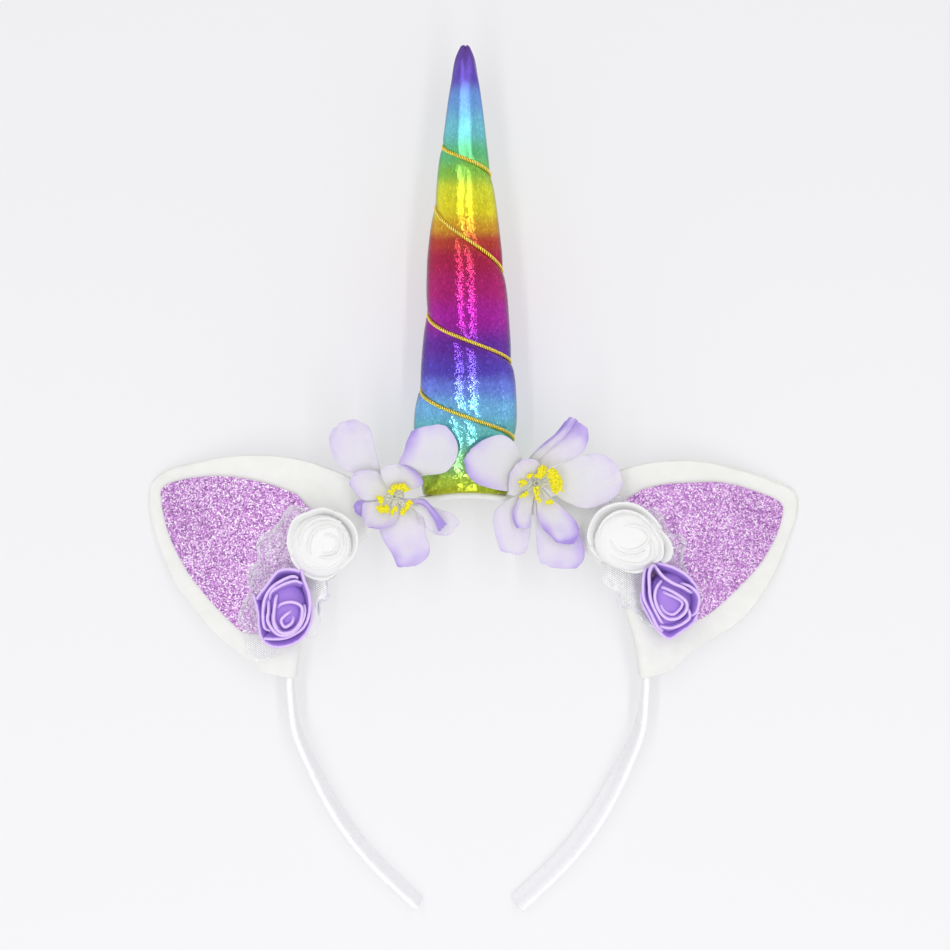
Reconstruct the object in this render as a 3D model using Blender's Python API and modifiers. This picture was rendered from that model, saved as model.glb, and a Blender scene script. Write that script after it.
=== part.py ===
"""Unicorn horn headband, lying face up: a slim ribbon-covered band, a stuffed spiral horn, two felt ears
with glitter panels, foam roses on scraps of tulle, and two silk flowers beside the horn.

Headband frame: +X to the right as it lies, +Y along the horn, +Z out of the decorated face.
The origin of that frame is the middle of the hoop at its widest. Everything hangs on one empty, which is tipped
so that the arm tips, the ear tips and the belly of the horn rest on z = 0."""

import math

import bmesh
import bpy
from mathutils import Vector

MM = 0.001

# --- driving dimensions, millimetres ---
HOOP_HALF_WIDTH = 60.0  # middle of the strip, at the widest point
HOOP_RISE = 65.0  # from the widest point up to the top
STRIP_WIDTH = 9.0
STRIP_THICK = 2.2
TWIST_LEFT_DEG = 12.0  # how far each arm is wrung open towards its tip
TWIST_RIGHT_DEG = 30.0
TWIST_RUN = 38.0  # drop over which the wring builds up

GAP = 0.3  # between neighbouring pieces

HORN_X = -0.8
HORN_FOOT = HOOP_RISE + STRIP_THICK / 2 + GAP
HORN_SIDES = 22
HORN_RINGS = 42
GROOVE_DEPTH_FOOT = 1.15
GROOVE_DEPTH_TIP = 0.35
GROOVE_REACH = 4.5
PUFF = 0.75
CORD_RADIUS = 0.65
CORD_LIFT = 0.75
CORD_STEPS_PER_TURN = 18

FELT_THICK = 2.4  # two layers
SLEEVE_WALL = 1.2  # felt round the strip
EAR_LIFT = 3.2  # middle of the felt beside the strip
EAR_REACH = 68.0
EAR_DROOP_LEFT = 18.75
EAR_DROOP_RIGHT = 17.75
EAR_DROOP_POWER = 1.6
PANEL_THICK = 0.8
PANEL_START = 9.5  # distance of the panel's inner edge from the strip
TULLE_THICK = 1.0
TULLE_BASE = 6.35
ROSE_BASE = TULLE_BASE + TULLE_THICK + GAP

PETAL_THICK = 1.0
PETAL_CUP = 1.45  # 1 is a cone, 2 a bowl
BACK_PETAL_BASE = 6.9
FRONT_PETAL_BASE = 8.3
STAMEN_BASE = 9.75
STAMEN_FLARE = 3.4  # how much higher the ring's underside is at its rim

REST_TILT_DEG = 4.72
REST_HEIGHT = 10.56
REST_X = -1.7
REST_Y = -67.32

# How the arms draw in below the widest point.
ARM_SECTIONS = (
    # drop, half_width
    (0.0, 60.0),
    (14.5, 58.2),
    (28.0, 52.7),
    (42.0, 45.5),
    (54.0, 37.5),
    (64.0, 28.6),
    (75.5, 16.6),
)

# Stuffed cone, without its grooves.
HORN_SECTIONS = (
    # height, radius
    (0.0, 14.1),
    (6.0, 15.2),
    (14.0, 16.4),
    (22.0, 16.9),
    (34.0, 16.3),
    (50.0, 14.8),
    (66.0, 13.3),
    (82.0, 11.5),
    (98.0, 9.2),
    (112.0, 7.4),
    (126.0, 5.6),
    (137.0, 4.0),
    (142.5, 2.8),
    (146.4, 1.0),
)

# The pinch that the gold cord lies in: turns counted from the horn's left side, first over the front.
CORD_FROM = -0.2
CORD_TO = 3.9
CORD_PASSES = (
    # turns, height
    (-0.35, 119.0),
    (0.0, 113.6),
    (0.5, 104.2),
    (1.0, 93.7),
    (1.5, 72.4),
    (2.0, 58.5),
    (2.5, 42.6),
    (3.0, 33.4),
    (3.5, 17.3),
    (4.05, 7.5),
)

# Ear outlines, from the lower end to the upper one. strip_deg is where that line leaves the strip.
EAR_LEFT_EDGE = (
    # strip_deg, x, y
    (177.0, -68.0, 4.6),
    (172.0, -76.0, 11.0),
    (167.0, -83.8, 16.5),
    (162.0, -92.0, 25.0),
    (158.0, -99.0, 33.5),
    (154.5, -104.0, 43.5),
    (151.0, -108.0, 55.0),
    (148.0, -109.0, 64.0),
    (144.5, -107.3, 68.5),
    (141.0, -101.0, 72.3),
    (136.0, -90.5, 75.0),
    (131.0, -80.5, 77.0),
    (126.0, -68.0, 77.5),
    (121.0, -56.5, 76.3),
    (116.0, -46.5, 73.4),
    (111.0, -38.0, 70.0),
)
EAR_RIGHT_EDGE = (
    # strip_deg, x, y
    (3.0, 68.0, 5.4),
    (8.0, 75.0, 12.0),
    (13.0, 83.0, 16.4),
    (18.5, 90.5, 20.8),
    (23.0, 97.0, 26.8),
    (27.5, 104.5, 38.0),
    (31.0, 109.3, 49.0),
    (34.0, 112.4, 57.2),
    (37.0, 111.6, 64.2),
    (41.0, 103.8, 68.2),
    (45.5, 96.0, 71.0),
    (50.0, 85.5, 74.0),
    (55.0, 75.0, 75.7),
    (60.0, 63.5, 75.4),
    (65.0, 51.8, 73.1),
    (70.0, 42.0, 69.4),
)

# Glitter panels, the same way round.
PANEL_LEFT_EDGE = (
    # strip_deg, x, y
    (166.0, -75.2, 18.5),
    (163.5, -80.4, 22.8),
    (161.0, -87.1, 29.4),
    (158.0, -93.8, 37.1),
    (155.0, -99.2, 45.8),
    (152.5, -102.4, 53.5),
    (150.5, -104.2, 61.4),
    (148.5, -103.8, 66.0),
    (145.0, -97.1, 68.8),
    (142.0, -87.5, 70.2),
    (139.0, -79.0, 70.2),
    (136.0, -68.0, 68.5),
    (133.0, -57.4, 65.0),
)
PANEL_RIGHT_EDGE = (
    # strip_deg, x, y
    (14.0, 74.0, 21.0),
    (16.5, 82.8, 26.1),
    (20.0, 91.0, 33.1),
    (24.0, 98.5, 40.4),
    (28.0, 103.8, 48.5),
    (31.0, 106.4, 55.0),
    (33.5, 106.4, 60.8),
    (37.0, 97.0, 65.2),
    (40.5, 86.0, 68.2),
    (44.0, 76.0, 68.5),
    (47.5, 66.6, 68.2),
    (51.0, 58.6, 66.6),
)

# Torn tulle: reach of its ragged edge from the middle of each pair of roses.
TULLE_LEFT_AT = (-57.0, 37.0)
TULLE_LEFT_REACH = (
    # direction_deg, reach
    (0.0, 14.0),
    (40.0, 20.0),
    (75.0, 25.0),
    (105.0, 21.0),
    (140.0, 17.0),
    (175.0, 16.0),
    (205.0, 20.0),
    (228.0, 27.0),
    (240.0, 32.0),
    (262.0, 22.0),
    (285.0, 24.0),
    (320.0, 15.0),
)
TULLE_RIGHT_AT = (58.5, 40.0)
TULLE_RIGHT_REACH = (
    # direction_deg, reach
    (0.0, 14.0),
    (30.0, 16.0),
    (70.0, 18.0),
    (108.0, 25.0),
    (135.0, 26.0),
    (165.0, 16.0),
    (200.0, 15.0),
    (235.0, 17.0),
    (270.0, 20.0),
    (300.0, 22.0),
    (330.0, 17.0),
)

ROSES = (
    # name, x, y, half_x, half_y, height, turns
    ("rose_white_left", -48.2, 49.0, 11.3, 11.4, 11.0, 2.2),
    ("rose_purple_left", -61.0, 27.6, 9.5, 12.4, 11.5, 2.4),
    ("rose_white_right", 53.3, 50.6, 13.2, 10.8, 11.0, 2.2),
    ("rose_purple_right", 66.5, 29.9, 9.8, 12.0, 11.5, 2.4),
)

FLOWER_LEFT_AT = (-24.1, 64.4)
FLOWER_LEFT_BACK = (
    # direction_deg, length, half_width, lift
    (128.0, 29.5, 12.0, 6.0),
    (50.0, 28.0, 10.0, 12.8),
    (-23.0, 22.5, 7.0, 5.5),
    (-76.0, 24.0, 8.5, 5.0),
)
FLOWER_LEFT_FRONT = (
    # direction_deg, length, half_width, lift
    (84.0, 11.0, 6.0, 6.5),
    (160.0, 15.0, 6.0, 5.0),
    (217.0, 13.0, 6.0, 5.5),
    (-40.0, 20.0, 7.5, 9.0),
)
FLOWER_RIGHT_AT = (22.7, 68.7)
FLOWER_RIGHT_BACK = (
    # direction_deg, length, half_width, lift
    (62.0, 23.5, 7.5, 7.0),
    (3.0, 26.8, 9.5, 6.5),
    (-72.0, 29.0, 7.5, 5.0),
    (-118.0, 24.5, 6.5, 5.0),
    (148.0, 24.0, 9.0, 13.2),
)
FLOWER_RIGHT_FRONT = (
    # direction_deg, length, half_width, lift
    (118.0, 10.0, 5.5, 7.5),
    (-111.0, 16.5, 4.5, 6.5),
    (-60.0, 21.5, 7.5, 7.5),
    (30.0, 9.0, 5.0, 5.5),
)


def read_table(rows, at, column=1):
    """The table's value at that key, on a smooth curve through its rows."""
    if at <= rows[0][0]:
        return rows[0][column]
    if at >= rows[-1][0]:
        return rows[-1][column]
    i = max(k for k in range(len(rows) - 1) if rows[k][0] <= at)
    x0, x1 = rows[i][0], rows[i + 1][0]
    y0, y1 = rows[i][column], rows[i + 1][column]
    rise = (y1 - y0) / (x1 - x0)
    before = rise if i == 0 else (y1 - rows[i - 1][column]) / (x1 - rows[i - 1][0])
    after = rise if i + 2 >= len(rows) else (rows[i + 2][column] - y0) / (rows[i + 2][0] - x0)
    t = (at - x0) / (x1 - x0)
    return (
        (2 * t**3 - 3 * t**2 + 1) * y0
        + (t**3 - 2 * t**2 + t) * before * (x1 - x0)
        + (3 * t**2 - 2 * t**3) * y1
        + (t**3 - t**2) * after * (x1 - x0)
    )


def read_round_table(rows, degrees):
    """As read_table, for directions that go all the way round."""
    n = len(rows)
    wrapped = [(rows[k % n][0] + 360.0 * (k // n), rows[k % n][1]) for k in range(-2, n + 3)]
    return read_table(wrapped, degrees % 360.0)


# --- the strip's route ---
def hoop_point(degrees):
    a = math.radians(degrees)
    return Vector((HOOP_HALF_WIDTH * math.cos(a), HOOP_RISE * math.sin(a), 0.0))


def hoop_outward(degrees):
    a = math.radians(degrees)
    return Vector((math.cos(a) / HOOP_HALF_WIDTH, math.sin(a) / HOOP_RISE, 0.0)).normalized()


def strip_route():
    """Points from the left tip over the top to the right tip, with the wring at each, in degrees."""
    last = ARM_SECTIONS[-1][0]
    drops = [last * k / 14.0 for k in range(14, 0, -1)]
    left = [(Vector((-read_table(ARM_SECTIONS, d), -d, 0.0)), -TWIST_LEFT_DEG * min(1.0, d / TWIST_RUN)) for d in drops]
    arch = [(hoop_point(180.0 - 180.0 * k / 28.0), 0.0) for k in range(29)]
    right = [
        (Vector((read_table(ARM_SECTIONS, d), -d, 0.0)), -TWIST_RIGHT_DEG * min(1.0, d / TWIST_RUN))
        for d in reversed(drops)
    ]
    return left + arch + right


def beyond_strip(x, y):
    """Distance out from the strip, near enough, on the horn's side of the hoop."""
    return max(0.0, (math.hypot(x / HOOP_HALF_WIDTH, y / HOOP_RISE) - 1.0) * 62.0)


def ear_sag(x, y):
    droop = EAR_DROOP_LEFT if x < 0 else EAR_DROOP_RIGHT
    return droop * (beyond_strip(x, y) / EAR_REACH) ** EAR_DROOP_POWER


# --- making objects ---
for old in list(bpy.data.objects):
    bpy.data.objects.remove(old, do_unlink=True)

parts = bpy.data.collections.new("unicorn_headband")
cutters = bpy.data.collections.new("cutters")
bpy.context.scene.collection.children.link(parts)
bpy.context.scene.collection.children.link(cutters)

rest = bpy.data.objects.new("rest_pose", None)
parts.objects.link(rest)
rest.location = (REST_X * MM, REST_Y * MM, REST_HEIGHT * MM)
rest.rotation_euler = (math.radians(REST_TILT_DEG), 0.0, 0.0)


def material(name, colour, roughness, metallic=0.0):
    made = bpy.data.materials.new(name)
    made.use_nodes = True
    shader = made.node_tree.nodes["Principled BSDF"]
    shader.inputs["Base Color"].default_value = (*colour, 1.0)
    shader.inputs["Roughness"].default_value = roughness
    shader.inputs["Metallic"].default_value = metallic
    made.diffuse_color = (*colour, 1.0)
    return made


WHITE_SATIN = material("white_satin", (0.9, 0.9, 0.92), 0.35)
RAINBOW_FOIL = material("rainbow_foil", (0.75, 0.3, 0.45), 0.35, 0.5)
GOLD_CORD = material("gold_cord", (0.83, 0.62, 0.25), 0.35, 0.9)
IVORY_FELT = material("ivory_felt", (0.9, 0.88, 0.84), 0.95)
PURPLE_GLITTER = material("purple_glitter", (0.48, 0.17, 0.55), 0.4, 0.4)
SILVER_TULLE = material("silver_tulle", (0.88, 0.88, 0.9), 0.5)
WHITE_FOAM = material("white_foam", (0.92, 0.92, 0.92), 0.7)
LAVENDER_FOAM = material("lavender_foam", (0.42, 0.25, 0.75), 0.7)
PALE_SILK = material("pale_silk", (0.85, 0.8, 0.92), 0.6)
LILAC_SILK = material("lilac_silk", (0.62, 0.5, 0.85), 0.6)
YELLOW_STAMEN = material("yellow_stamen", (0.9, 0.85, 0.1), 0.5)


def add_object(name, data, finish, home=None):
    obj = bpy.data.objects.new(name, data)
    (home or parts).objects.link(obj)
    obj.parent = rest
    if finish:
        data.materials.append(finish)
    return obj


def mesh_object(name, points, faces, finish, home=None, smooth=True):
    """A mesh from millimetre points, with its faces turned outwards."""
    mesh = bpy.data.meshes.new(name)
    mesh.from_pydata([tuple(c * MM for c in p) for p in points], [], faces)
    bm = bmesh.new()
    bm.from_mesh(mesh)
    bmesh.ops.recalc_face_normals(bm, faces=bm.faces)
    bm.to_mesh(mesh)
    bm.free()
    if smooth:
        mesh.shade_smooth()
        mesh.set_sharp_from_angle(angle=math.radians(50.0))
    return add_object(name, mesh, finish, home)


def loft(name, sections, finish, home=None):
    """A closed solid through rings of equal length, capped at both ends."""
    n = len(sections[0])
    points = [p for ring in sections for p in ring]
    faces = []
    for r in range(len(sections) - 1):
        for k in range(n):
            faces.append((r * n + k, r * n + (k + 1) % n, (r + 1) * n + (k + 1) % n, (r + 1) * n + k))
    faces.append(tuple(range(n))[::-1])
    faces.append(tuple((len(sections) - 1) * n + k for k in range(n)))
    return mesh_object(name, points, faces, finish, home)


def sheet_solid(name, rows, thick, finish, closed=False):
    """A sheet through rows of points, which Solidify gives its thickness."""
    n = len(rows[0])
    points = [p for row in rows for p in row]
    faces = []
    for r in range(len(rows) - 1):
        for k in range(n if closed else n - 1):
            j = (k + 1) % n
            faces.append((r * n + k, r * n + j, (r + 1) * n + j, (r + 1) * n + k))
    if closed:
        faces.append(tuple(range(n)))
    obj = mesh_object(name, points, faces, finish)
    if sum(p.normal.z for p in obj.data.polygons) < 0:
        obj.data.flip_normals()
    shell = obj.modifiers.new("thickness", "SOLIDIFY")
    shell.thickness = thick * MM
    shell.offset = 0.0
    return obj


# --- band ---
def make_band():
    curve = bpy.data.curves.new("band", "CURVE")
    curve.dimensions = "3D"
    curve.twist_mode = "Z_UP"
    curve.extrude = (STRIP_WIDTH - STRIP_THICK) / 2 * MM
    curve.bevel_depth = STRIP_THICK / 2 * MM
    curve.bevel_resolution = 1
    curve.use_fill_caps = True
    route = strip_route()
    spline = curve.splines.new("POLY")
    spline.points.add(len(route) - 1)
    for point, (place, wring) in zip(spline.points, route):
        point.co = (place.x * MM, place.y * MM, place.z * MM, 1.0)
        point.tilt = math.radians(wring)
    return add_object("band", curve, WHITE_SATIN)


# --- horn and its cord ---
def groove_depth(height):
    share = height / HORN_SECTIONS[-1][0]
    return GROOVE_DEPTH_FOOT + (GROOVE_DEPTH_TIP - GROOVE_DEPTH_FOOT) * share


def horn_radius(height, turn):
    """Radius of the stuffed cone at that height and share of a turn, pinched where the cord lies."""
    nearest = 99.0
    above = below = None
    for k in range(-1, 5):
        if CORD_PASSES[0][0] <= turn + k <= CORD_PASSES[-1][0]:
            at = read_table(CORD_PASSES, turn + k)
            nearest = min(nearest, abs(height - at))
            if at >= height:
                above = at
            elif below is None:
                below = at
    pinch = groove_depth(height) * math.exp(-((nearest / GROOVE_REACH) ** 2))
    puff = 0.0
    if above is not None and below is not None:
        puff = PUFF * min(1.0, (above - below) / 24.0) * math.sin(math.pi * (height - below) / (above - below))
    return max(0.6, read_table(HORN_SECTIONS, height) - pinch + puff)


def horn_place(height, turn, radius):
    a = 2 * math.pi * turn
    x = HORN_X - radius * math.cos(a)
    foot = (HOOP_RISE + STRIP_THICK / 2) * (1.0 - math.sqrt(max(0.0, 1.0 - (x / (HOOP_HALF_WIDTH + STRIP_THICK / 2)) ** 2)))
    settle = foot * max(0.0, 1.0 - height / 20.0)
    return (x, HORN_FOOT + height - settle, radius * math.sin(a))


def make_horn():
    top = HORN_SECTIONS[-1][0]
    foot = horn_radius(0.0, 0.0)
    sections = [
        [horn_place(0.0, k / HORN_SIDES, foot * share) for k in range(HORN_SIDES)] for share in (0.08, 0.38, 0.7)
    ]
    for r in range(HORN_RINGS + 1):
        height = top * r / HORN_RINGS
        sections.append(
            [
                horn_place(height, k / HORN_SIDES, horn_radius(height, k / HORN_SIDES))
                for k in range(HORN_SIDES)
            ]
        )
    return loft("horn", sections, RAINBOW_FOIL)


def make_horn_cord():
    curve = bpy.data.curves.new("horn_cord", "CURVE")
    curve.dimensions = "3D"
    curve.bevel_depth = CORD_RADIUS * MM
    curve.bevel_resolution = 2
    curve.use_fill_caps = True
    steps = round((CORD_TO - CORD_FROM) * CORD_STEPS_PER_TURN)
    spline = curve.splines.new("POLY")
    spline.points.add(steps)
    for k, point in enumerate(spline.points):
        turn = CORD_FROM + (CORD_TO - CORD_FROM) * k / steps
        height = read_table(CORD_PASSES, turn)
        x, y, z = horn_place(height, turn, horn_radius(height, turn % 1.0) + CORD_RADIUS + CORD_LIFT)
        point.co = (x * MM, y * MM, z * MM, 1.0)
    return add_object("horn_cord", curve, GOLD_CORD)


# --- ears ---
def ear_sections(edge):
    """Rings across the folded felt: out along the front, round the edge, back along the rear and round the strip."""
    half = FELT_THICK / 2
    side = STRIP_WIDTH / 2 + GAP + SLEEVE_WALL
    inner = STRIP_THICK / 2 + GAP + SLEEVE_WALL
    fold = (
        # out, rise
        (-inner, -side + 1.6),
        (-inner, side - 1.6),
        (-inner + 0.9, side - 0.3),
        (0.6, side),
        (3.4, side - 0.4),
        (6.6, EAR_LIFT + half + 0.3),
    )
    under = (
        # out, rise
        (8.2, EAR_LIFT - half - 0.4),
        (5.4, EAR_LIFT - half - 2.2),
        (3.0, -side + 1.4),
        (0.8, -side),
        (-inner + 0.9, -side + 0.3),
    )
    rings = []
    for degrees, x, y in edge:
        foot, out = hoop_point(degrees), hoop_outward(degrees)
        reach = Vector((x, y, 0.0)) - foot
        length = reach.length
        run = reach / length
        ring = []

        def place(distance, rise, sags=True):
            along = out if distance <= 0 else run
            at = foot + along * distance
            sag = ear_sag(at.x, at.y) if sags else 0.0
            ring.append((at.x, at.y, rise - sag))

        squeeze = min(1.0, (length - 1.0) / 8.2)
        for distance, rise in fold:
            place(distance if distance <= 0 else distance * squeeze, rise)
        start = 8.6 * squeeze
        spans = [start + (length - start - 0.5) * share for share in (0.3, 0.62, 0.86, 1.0)]
        for distance in spans:
            place(distance, EAR_LIFT + half)
        place(length, EAR_LIFT + half - 0.6)
        place(length, EAR_LIFT - half + 0.6)
        for distance in reversed(spans):
            place(distance, EAR_LIFT - half)
        for distance, rise in under:
            place(distance if distance <= 0 else distance * squeeze, rise)
        rings.append(ring)
    return rings


def strip_cutter(name, first_deg, last_deg):
    """The strip with its clearance, as a solid that bores the felt's fold."""
    half_thick = STRIP_THICK / 2 + GAP
    half_width = STRIP_WIDTH / 2 + GAP
    rings = []
    for k in range(15):
        degrees = first_deg + (last_deg - first_deg) * k / 14.0
        foot, out = hoop_point(degrees), hoop_outward(degrees)
        rings.append(
            [
                tuple(foot + out * side * half_thick + Vector((0, 0, rise * half_width)))
                for side, rise in ((-1, -1), (1, -1), (1, 1), (-1, 1))
            ]
        )
    cutter = loft(name, rings, None, cutters)
    cutter.hide_render = True
    cutter.display_type = "WIRE"
    return cutter


def make_ear(side, edge, first_deg, last_deg):
    felt = loft("ear_felt_" + side, ear_sections(edge), IVORY_FELT)
    bore = felt.modifiers.new("strip_way", "BOOLEAN")
    bore.operation = "DIFFERENCE"
    bore.solver = "EXACT"
    bore.object = strip_cutter("strip_way_" + side, first_deg, last_deg)
    return felt


def make_panel(side, edge):
    rise = EAR_LIFT + FELT_THICK / 2 + GAP + 0.1 + PANEL_THICK / 2
    rows = []
    for degrees, x, y in edge:
        near = hoop_point(degrees) * (1.0 + PANEL_START / 62.0)
        far = Vector((x, y, 0.0))
        row = []
        for share in (0.0, 0.35, 0.7, 1.0):
            at = near.lerp(far, share)
            row.append((at.x, at.y, rise - ear_sag(at.x, at.y)))
        rows.append(row)
    return sheet_solid("ear_glitter_" + side, rows, PANEL_THICK, PURPLE_GLITTER)


# --- tulle and roses ---
def make_tulle(side, middle, reach):
    spokes = 26
    rows = []
    for share in (0.15, 0.6, 1.0):
        row = []
        for k in range(spokes):
            degrees = 360.0 * k / spokes
            far = read_round_table(reach, degrees) * (1.0 + 0.07 * share * math.sin(9.0 * math.radians(degrees) + middle[1]))
            x = middle[0] + far * share * math.cos(math.radians(degrees))
            y = middle[1] + far * share * math.sin(math.radians(degrees))
            row.append((x, y, TULLE_BASE + TULLE_THICK / 2 - ear_sag(x, y)))
        rows.append(row)
    return sheet_solid("tulle_" + side, rows, TULLE_THICK, SILVER_TULLE, closed=True)


def disc_solid(name, finish, middle, base, rings, spokes, outline, rise):
    """A closed button: flat below, and rise(share, angle) above, out to outline(angle)."""
    points = [(middle[0], middle[1], base(0.0, 0.0)), (middle[0], middle[1], base(0.0, 0.0) + rise(0.0, 0.0))]
    for r in range(1, rings + 1):
        share = r / rings
        for k in range(spokes):
            a = 2 * math.pi * k / spokes
            far = outline(a) * share
            x, y = middle[0] + far * math.cos(a), middle[1] + far * math.sin(a)
            points.append((x, y, base(x - middle[0], y - middle[1])))
            points.append((x, y, base(x - middle[0], y - middle[1]) + rise(share, a)))

    def low(r, k):
        return 2 + 2 * ((r - 1) * spokes + k % spokes)

    faces = []
    for k in range(spokes):
        faces.append((0, low(1, k), low(1, k + 1)))
        faces.append((1, low(1, k + 1) + 1, low(1, k) + 1))
        for r in range(1, rings):
            faces.append((low(r, k), low(r + 1, k), low(r + 1, k + 1), low(r, k + 1)))
            faces.append((low(r, k) + 1, low(r, k + 1) + 1, low(r + 1, k + 1) + 1, low(r + 1, k) + 1))
        faces.append((low(rings, k), low(rings, k) + 1, low(rings, k + 1) + 1, low(rings, k + 1)))
    return mesh_object(name, points, faces, finish)


def make_rose(name, x, y, half_x, half_y, height, turns):
    """A foam strip rolled into a rose: a low dome whose rim steps along a spiral."""

    def outline(a):
        scallop = 1.0 - 0.05 * (0.5 + 0.5 * math.cos(5 * a + x))
        return scallop * half_x * half_y / math.hypot(half_y * math.cos(a), half_x * math.sin(a))

    def rise(share, a):
        dome = 0.55 + 0.45 * math.sqrt(max(0.0, 1.0 - (share * 0.97) ** 2.4))
        phase = (share * turns - a / (2 * math.pi)) % 1.0
        return height * dome - 1.3 * math.exp(-((min(phase, 1.0 - phase) / 0.16) ** 2)) * min(1.0, share * 3)

    def base(dx, dy):
        return ROSE_BASE - ear_sag(x + dx, y + dy)

    finish = WHITE_FOAM if "white" in name else LAVENDER_FOAM
    return disc_solid(name, finish, (x, y), base, 6, 20, outline, rise)


# --- silk flowers ---
def make_petals(name, middle, base, petals, finish):
    """One die-cut layer: petals from a shared middle, each rising to its own lift."""
    spokes = 36
    least = 3.6

    def petal_at(degrees):
        best, lift = least, 0.6
        for direction, length, half_width, rise in petals:
            away = abs((degrees - direction + 180.0) % 360.0 - 180.0)
            spread = math.degrees(math.atan2(half_width, 0.5 * length))
            if away < spread:
                far = length * (1.0 - (away / spread) ** 2) ** 0.55
                if far > best:
                    best, lift = far, rise * (far / length) ** PETAL_CUP
        return best, lift

    rows = []
    for share in (0.2, 0.6, 1.0):
        row = []
        for k in range(spokes):
            degrees = 360.0 * k / spokes
            far, lift = petal_at(degrees)
            a = math.radians(degrees)
            r = max(far * share, least * share)
            row.append(
                (
                    middle[0] + r * math.cos(a),
                    middle[1] + r * math.sin(a),
                    base + PETAL_THICK / 2 + lift * share**PETAL_CUP,
                )
            )
        rows.append(row)
    return sheet_solid(name, rows, PETAL_THICK, finish, closed=True)


def make_stamens(name, middle):
    def outline(a):
        return 4.7 + 0.5 * math.cos(11 * a)

    def rise(share, a):
        hub = 2.2 * math.exp(-((share / 0.3) ** 2))
        knobs = 2.2 * math.exp(-(((share - 0.84) / 0.2) ** 2)) * (0.6 + 0.4 * math.cos(11 * a))
        return 0.8 + hub + knobs

    def base(dx, dy):
        return STAMEN_BASE + STAMEN_FLARE * (math.hypot(dx, dy) / 5.2) ** PETAL_CUP

    return disc_solid(name, YELLOW_STAMEN, middle, base, 4, 22, outline, rise)


make_band()
make_horn()
make_horn_cord()
make_ear("left", EAR_LEFT_EDGE, 186.0, 102.0)
make_ear("right", EAR_RIGHT_EDGE, -6.0, 79.0)
make_panel("left", PANEL_LEFT_EDGE)
make_panel("right", PANEL_RIGHT_EDGE)
make_tulle("left", TULLE_LEFT_AT, TULLE_LEFT_REACH)
make_tulle("right", TULLE_RIGHT_AT, TULLE_RIGHT_REACH)
for row in ROSES:
    make_rose(*row)
make_petals("flower_left_back_petals", FLOWER_LEFT_AT, BACK_PETAL_BASE, FLOWER_LEFT_BACK, PALE_SILK)
make_petals("flower_left_front_petals", FLOWER_LEFT_AT, FRONT_PETAL_BASE, FLOWER_LEFT_FRONT, LILAC_SILK)
make_stamens("flower_left_stamens", FLOWER_LEFT_AT)
make_petals("flower_right_back_petals", FLOWER_RIGHT_AT, BACK_PETAL_BASE, FLOWER_RIGHT_BACK, PALE_SILK)
make_petals("flower_right_front_petals", FLOWER_RIGHT_AT, FRONT_PETAL_BASE, FLOWER_RIGHT_FRONT, LILAC_SILK)
make_stamens("flower_right_stamens", FLOWER_RIGHT_AT)
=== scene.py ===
import math
import random

import bmesh
import bpy
import numpy as np
from mathutils import Matrix, Vector, noise


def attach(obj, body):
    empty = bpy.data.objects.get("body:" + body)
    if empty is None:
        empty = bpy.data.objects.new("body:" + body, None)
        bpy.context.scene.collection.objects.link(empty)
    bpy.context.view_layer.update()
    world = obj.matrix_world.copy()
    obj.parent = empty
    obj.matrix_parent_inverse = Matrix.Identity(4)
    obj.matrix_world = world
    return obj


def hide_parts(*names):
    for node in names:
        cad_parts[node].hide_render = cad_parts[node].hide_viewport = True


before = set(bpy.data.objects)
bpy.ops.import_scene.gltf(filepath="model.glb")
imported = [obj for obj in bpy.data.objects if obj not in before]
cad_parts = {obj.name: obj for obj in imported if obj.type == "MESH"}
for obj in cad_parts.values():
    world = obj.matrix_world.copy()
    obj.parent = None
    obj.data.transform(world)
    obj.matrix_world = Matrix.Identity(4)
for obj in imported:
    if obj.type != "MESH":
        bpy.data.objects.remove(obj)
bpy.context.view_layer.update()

MM = 0.001
scene = bpy.context.scene

# ---------------------------------------------------------------- the headband's own frame, in millimetres
REST_TILT = math.radians(4.72)
REST_X, REST_Y, REST_Z = -1.7, -67.32, 10.56
TC, TS = math.cos(REST_TILT), math.sin(REST_TILT)


def to_world(points):
    """Headband-frame millimetres to row-frame metres."""
    p = np.asarray(points, float)
    out = np.empty_like(p)
    out[..., 0] = p[..., 0] + REST_X
    out[..., 1] = p[..., 1] * TC - p[..., 2] * TS + REST_Y
    out[..., 2] = p[..., 1] * TS + p[..., 2] * TC + REST_Z
    return out * MM


# ---------------------------------------------------------------- sizes shared with the frame
HOOP_HALF_WIDTH = 60.0
HOOP_RISE = 65.0
STRIP_WIDTH = 9.0
STRIP_THICK = 2.2
TWIST_LEFT_DEG = 12.0
TWIST_RIGHT_DEG = 30.0
TWIST_RUN = 38.0
HORN_X = -0.8
HORN_FOOT = HOOP_RISE + STRIP_THICK / 2 + 0.3
EAR_LIFT = 3.2
EAR_REACH = 68.0
EAR_DROOP_LEFT = 18.75
EAR_DROOP_RIGHT = 17.75
EAR_DROOP_POWER = 1.6

ARM_SECTIONS = (
    # drop, half_width
    (0.0, 60.0),
    (14.5, 58.2),
    (28.0, 52.7),
    (42.0, 45.5),
    (54.0, 37.5),
    (64.0, 28.6),
    (75.5, 16.6),
)
HORN_SECTIONS = (
    # height, radius
    (0.0, 14.1),
    (6.0, 15.2),
    (14.0, 16.4),
    (22.0, 16.9),
    (34.0, 16.3),
    (50.0, 14.8),
    (66.0, 13.3),
    (82.0, 11.5),
    (98.0, 9.2),
    (112.0, 7.4),
    (126.0, 5.6),
    (137.0, 4.0),
    (142.5, 2.8),
    (146.4, 1.0),
)
CORD_FROM = -0.2
CORD_TO = 3.9
CORD_PASSES = (
    # turns, height
    (-0.35, 119.0),
    (0.0, 113.6),
    (0.5, 104.2),
    (1.0, 93.7),
    (1.5, 72.4),
    (2.0, 58.5),
    (2.5, 42.6),
    (3.0, 33.4),
    (3.5, 17.3),
    (4.05, 7.5),
)
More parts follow.
